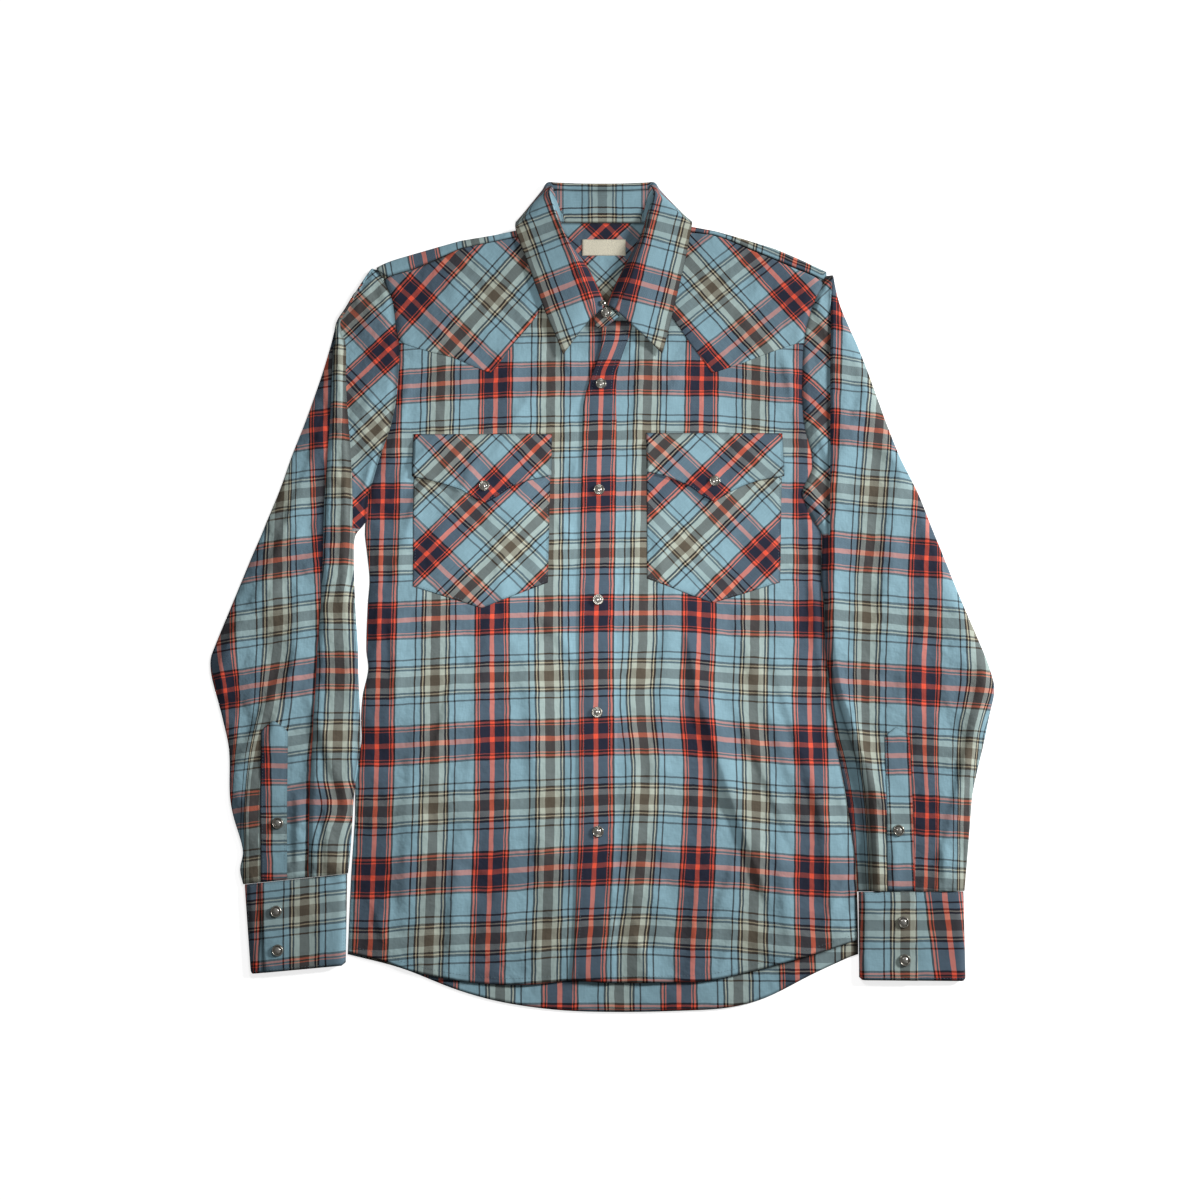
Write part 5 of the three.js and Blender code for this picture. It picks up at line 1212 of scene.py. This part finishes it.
def insetLine(x, y, z, side, inset):
    # a line at a set distance inside one edge of a grid, just above the cloth
    edge = {"left": (x[:, 0], y[:, 0], x[:, 1], y[:, 1]), "right": (x[:, -1], y[:, -1], x[:, -2], y[:, -2]),
            "top": (x[0], y[0], x[1], y[1]), "bottom": (x[-1], y[-1], x[-2], y[-2])}[side]
    ex, ey, ix, iy = edge
    reach = np.hypot(ix - ex, iy - ey) + 1e-9
    away = {"left": np.hypot(x - x[:, :1], y - y[:, :1]), "right": np.hypot(x - x[:, -1:], y - y[:, -1:])}
    if side in ("left", "right"):
        order = np.arange(x.shape[1]) if side == "left" else np.arange(x.shape[1])[::-1]
        heights = np.array([np.interp(inset, away[side][j][order], z[j][order]) for j in range(len(x))])
    else:
        order = np.arange(x.shape[0]) if side == "top" else np.arange(x.shape[0])[::-1]
        start = 0 if side == "top" else -1
        apart = np.hypot(x - x[start], y - y[start])
        heights = np.array([np.interp(inset, apart[order, i], z[order, i]) for i in range(x.shape[1])])
    return np.stack([ex + (ix - ex) / reach * inset, ey + (iy - ey) / reach * inset, heights + 0.05], axis=-1)


seamLines = [insetLine(*placketGrid, "left", 5.0), insetLine(*placketGrid, "right", 5.0)]
for x, y, z, sides in pocketGrids + trimGrids:
    seamLines += [insetLine(x, y, z, side, 2.2) for side in sides]
for x, y, z in yokeGrids.values():
    for side in ("bottom", "top"):
        seamLines.append(insetLine(x, y, z, side, 2.2))
for line in (leftHemEdge, rightHemEdge):
    inner = line + (0, 6.0)
    seamLines.append(np.column_stack([inner, frontTop(inner[:, 0], inner[:, 1]) + 0.1]))
seamLines.append(insetLine(leafX, leafY, leafZ, "right", 5.0)[:150])


def stitchRun(lines, gap=3.0, length=1.9, width=0.42, tall=0.2):
    # small pointed stitches spaced evenly along each line
    ways, starts = [], []
    for line in lines:
        steps = np.linalg.norm(np.diff(line[:, :2], axis=0), axis=1)
        run = np.pad(np.cumsum(steps), (1, 0))
        marks = np.arange(gap, run[-1] - gap, gap)
        spot = np.stack([np.interp(marks, run, line[:, k]) for k in range(3)], axis=-1)
        ahead = np.stack([np.interp(marks + 0.5, run, line[:, k]) for k in range(3)], axis=-1)
        way = ahead - spot
        ways.append(way / np.linalg.norm(way, axis=1)[:, None])
        starts.append(spot)
    spot, way = np.vstack(starts), np.vstack(ways)
    across = np.cross((0, 0, 1.0), way)
    across /= np.linalg.norm(across, axis=1)[:, None]
    up = np.array([0, 0, 1.0])
    shape = [(-length / 2, 0, 0.0), (0, -width / 2, 0.0), (length / 2, 0, 0.0), (0, width / 2, 0.0), (0, 0, tall), (0, 0, -0.2)]
    corners = np.stack([spot + way * a + across * b + up * c for a, b, c in shape], axis=1)
    faces = np.array([(0, 1, 4), (1, 2, 4), (2, 3, 4), (3, 0, 4), (1, 0, 5), (2, 1, 5), (3, 2, 5), (0, 3, 5)])
    allFaces = (np.arange(len(spot))[:, None, None] * 6 + faces[None]).reshape(-1, 3)
    places = (corners.reshape(-1, 3) - (origin["x"], origin["y"], 0)) / 1000
    mesh = bpy.data.meshes.new("topStitching")
    mesh.from_pydata(places.tolist(), [], allFaces.tolist())
    mesh.polygons.foreach_set("use_smooth", [True] * len(allFaces))
    mesh.materials.append(threadMaterial)
    mesh.update()
    piece = bpy.data.objects.new("topStitching", mesh)
    bpy.context.collection.objects.link(piece)
    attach(piece, "root")
    return piece


stitchRun(seamLines)
print("stitching made")

# plain pale floor
floorMesh = bpy.data.meshes.new("paleFloor")
floorMesh.from_pydata([(-4, -4, -0.0006), (4, -4, -0.0006), (4, 4, -0.0006), (-4, 4, -0.0006)], [], [(0, 1, 2, 3)])
floor = bpy.data.objects.new("paleFloor", floorMesh)
bpy.context.collection.objects.link(floor)
paleSurface = bpy.data.materials.new("paleSurface")
paleSurface.use_nodes = True
surface = paleSurface.node_tree.nodes["Principled BSDF"]
surface.inputs["Base Color"].default_value = (0.9, 0.9, 0.9, 1)
surface.inputs["Roughness"].default_value = 0.9
surface.inputs["Emission Color"].default_value = (1, 1, 1, 1)
lightPath = paleSurface.node_tree.nodes.new("ShaderNodeLightPath")
glow = paleSurface.node_tree.nodes.new("ShaderNodeMath")
glow.operation = "MULTIPLY"
glow.inputs[1].default_value = 0.74  # keeps the surface pale past the lamp, without lighting the cloth
paleSurface.node_tree.links.new(lightPath.outputs["Is Camera Ray"], glow.inputs[0])
paleSurface.node_tree.links.new(glow.outputs[0], surface.inputs["Emission Strength"])
floorMesh.materials.append(paleSurface)
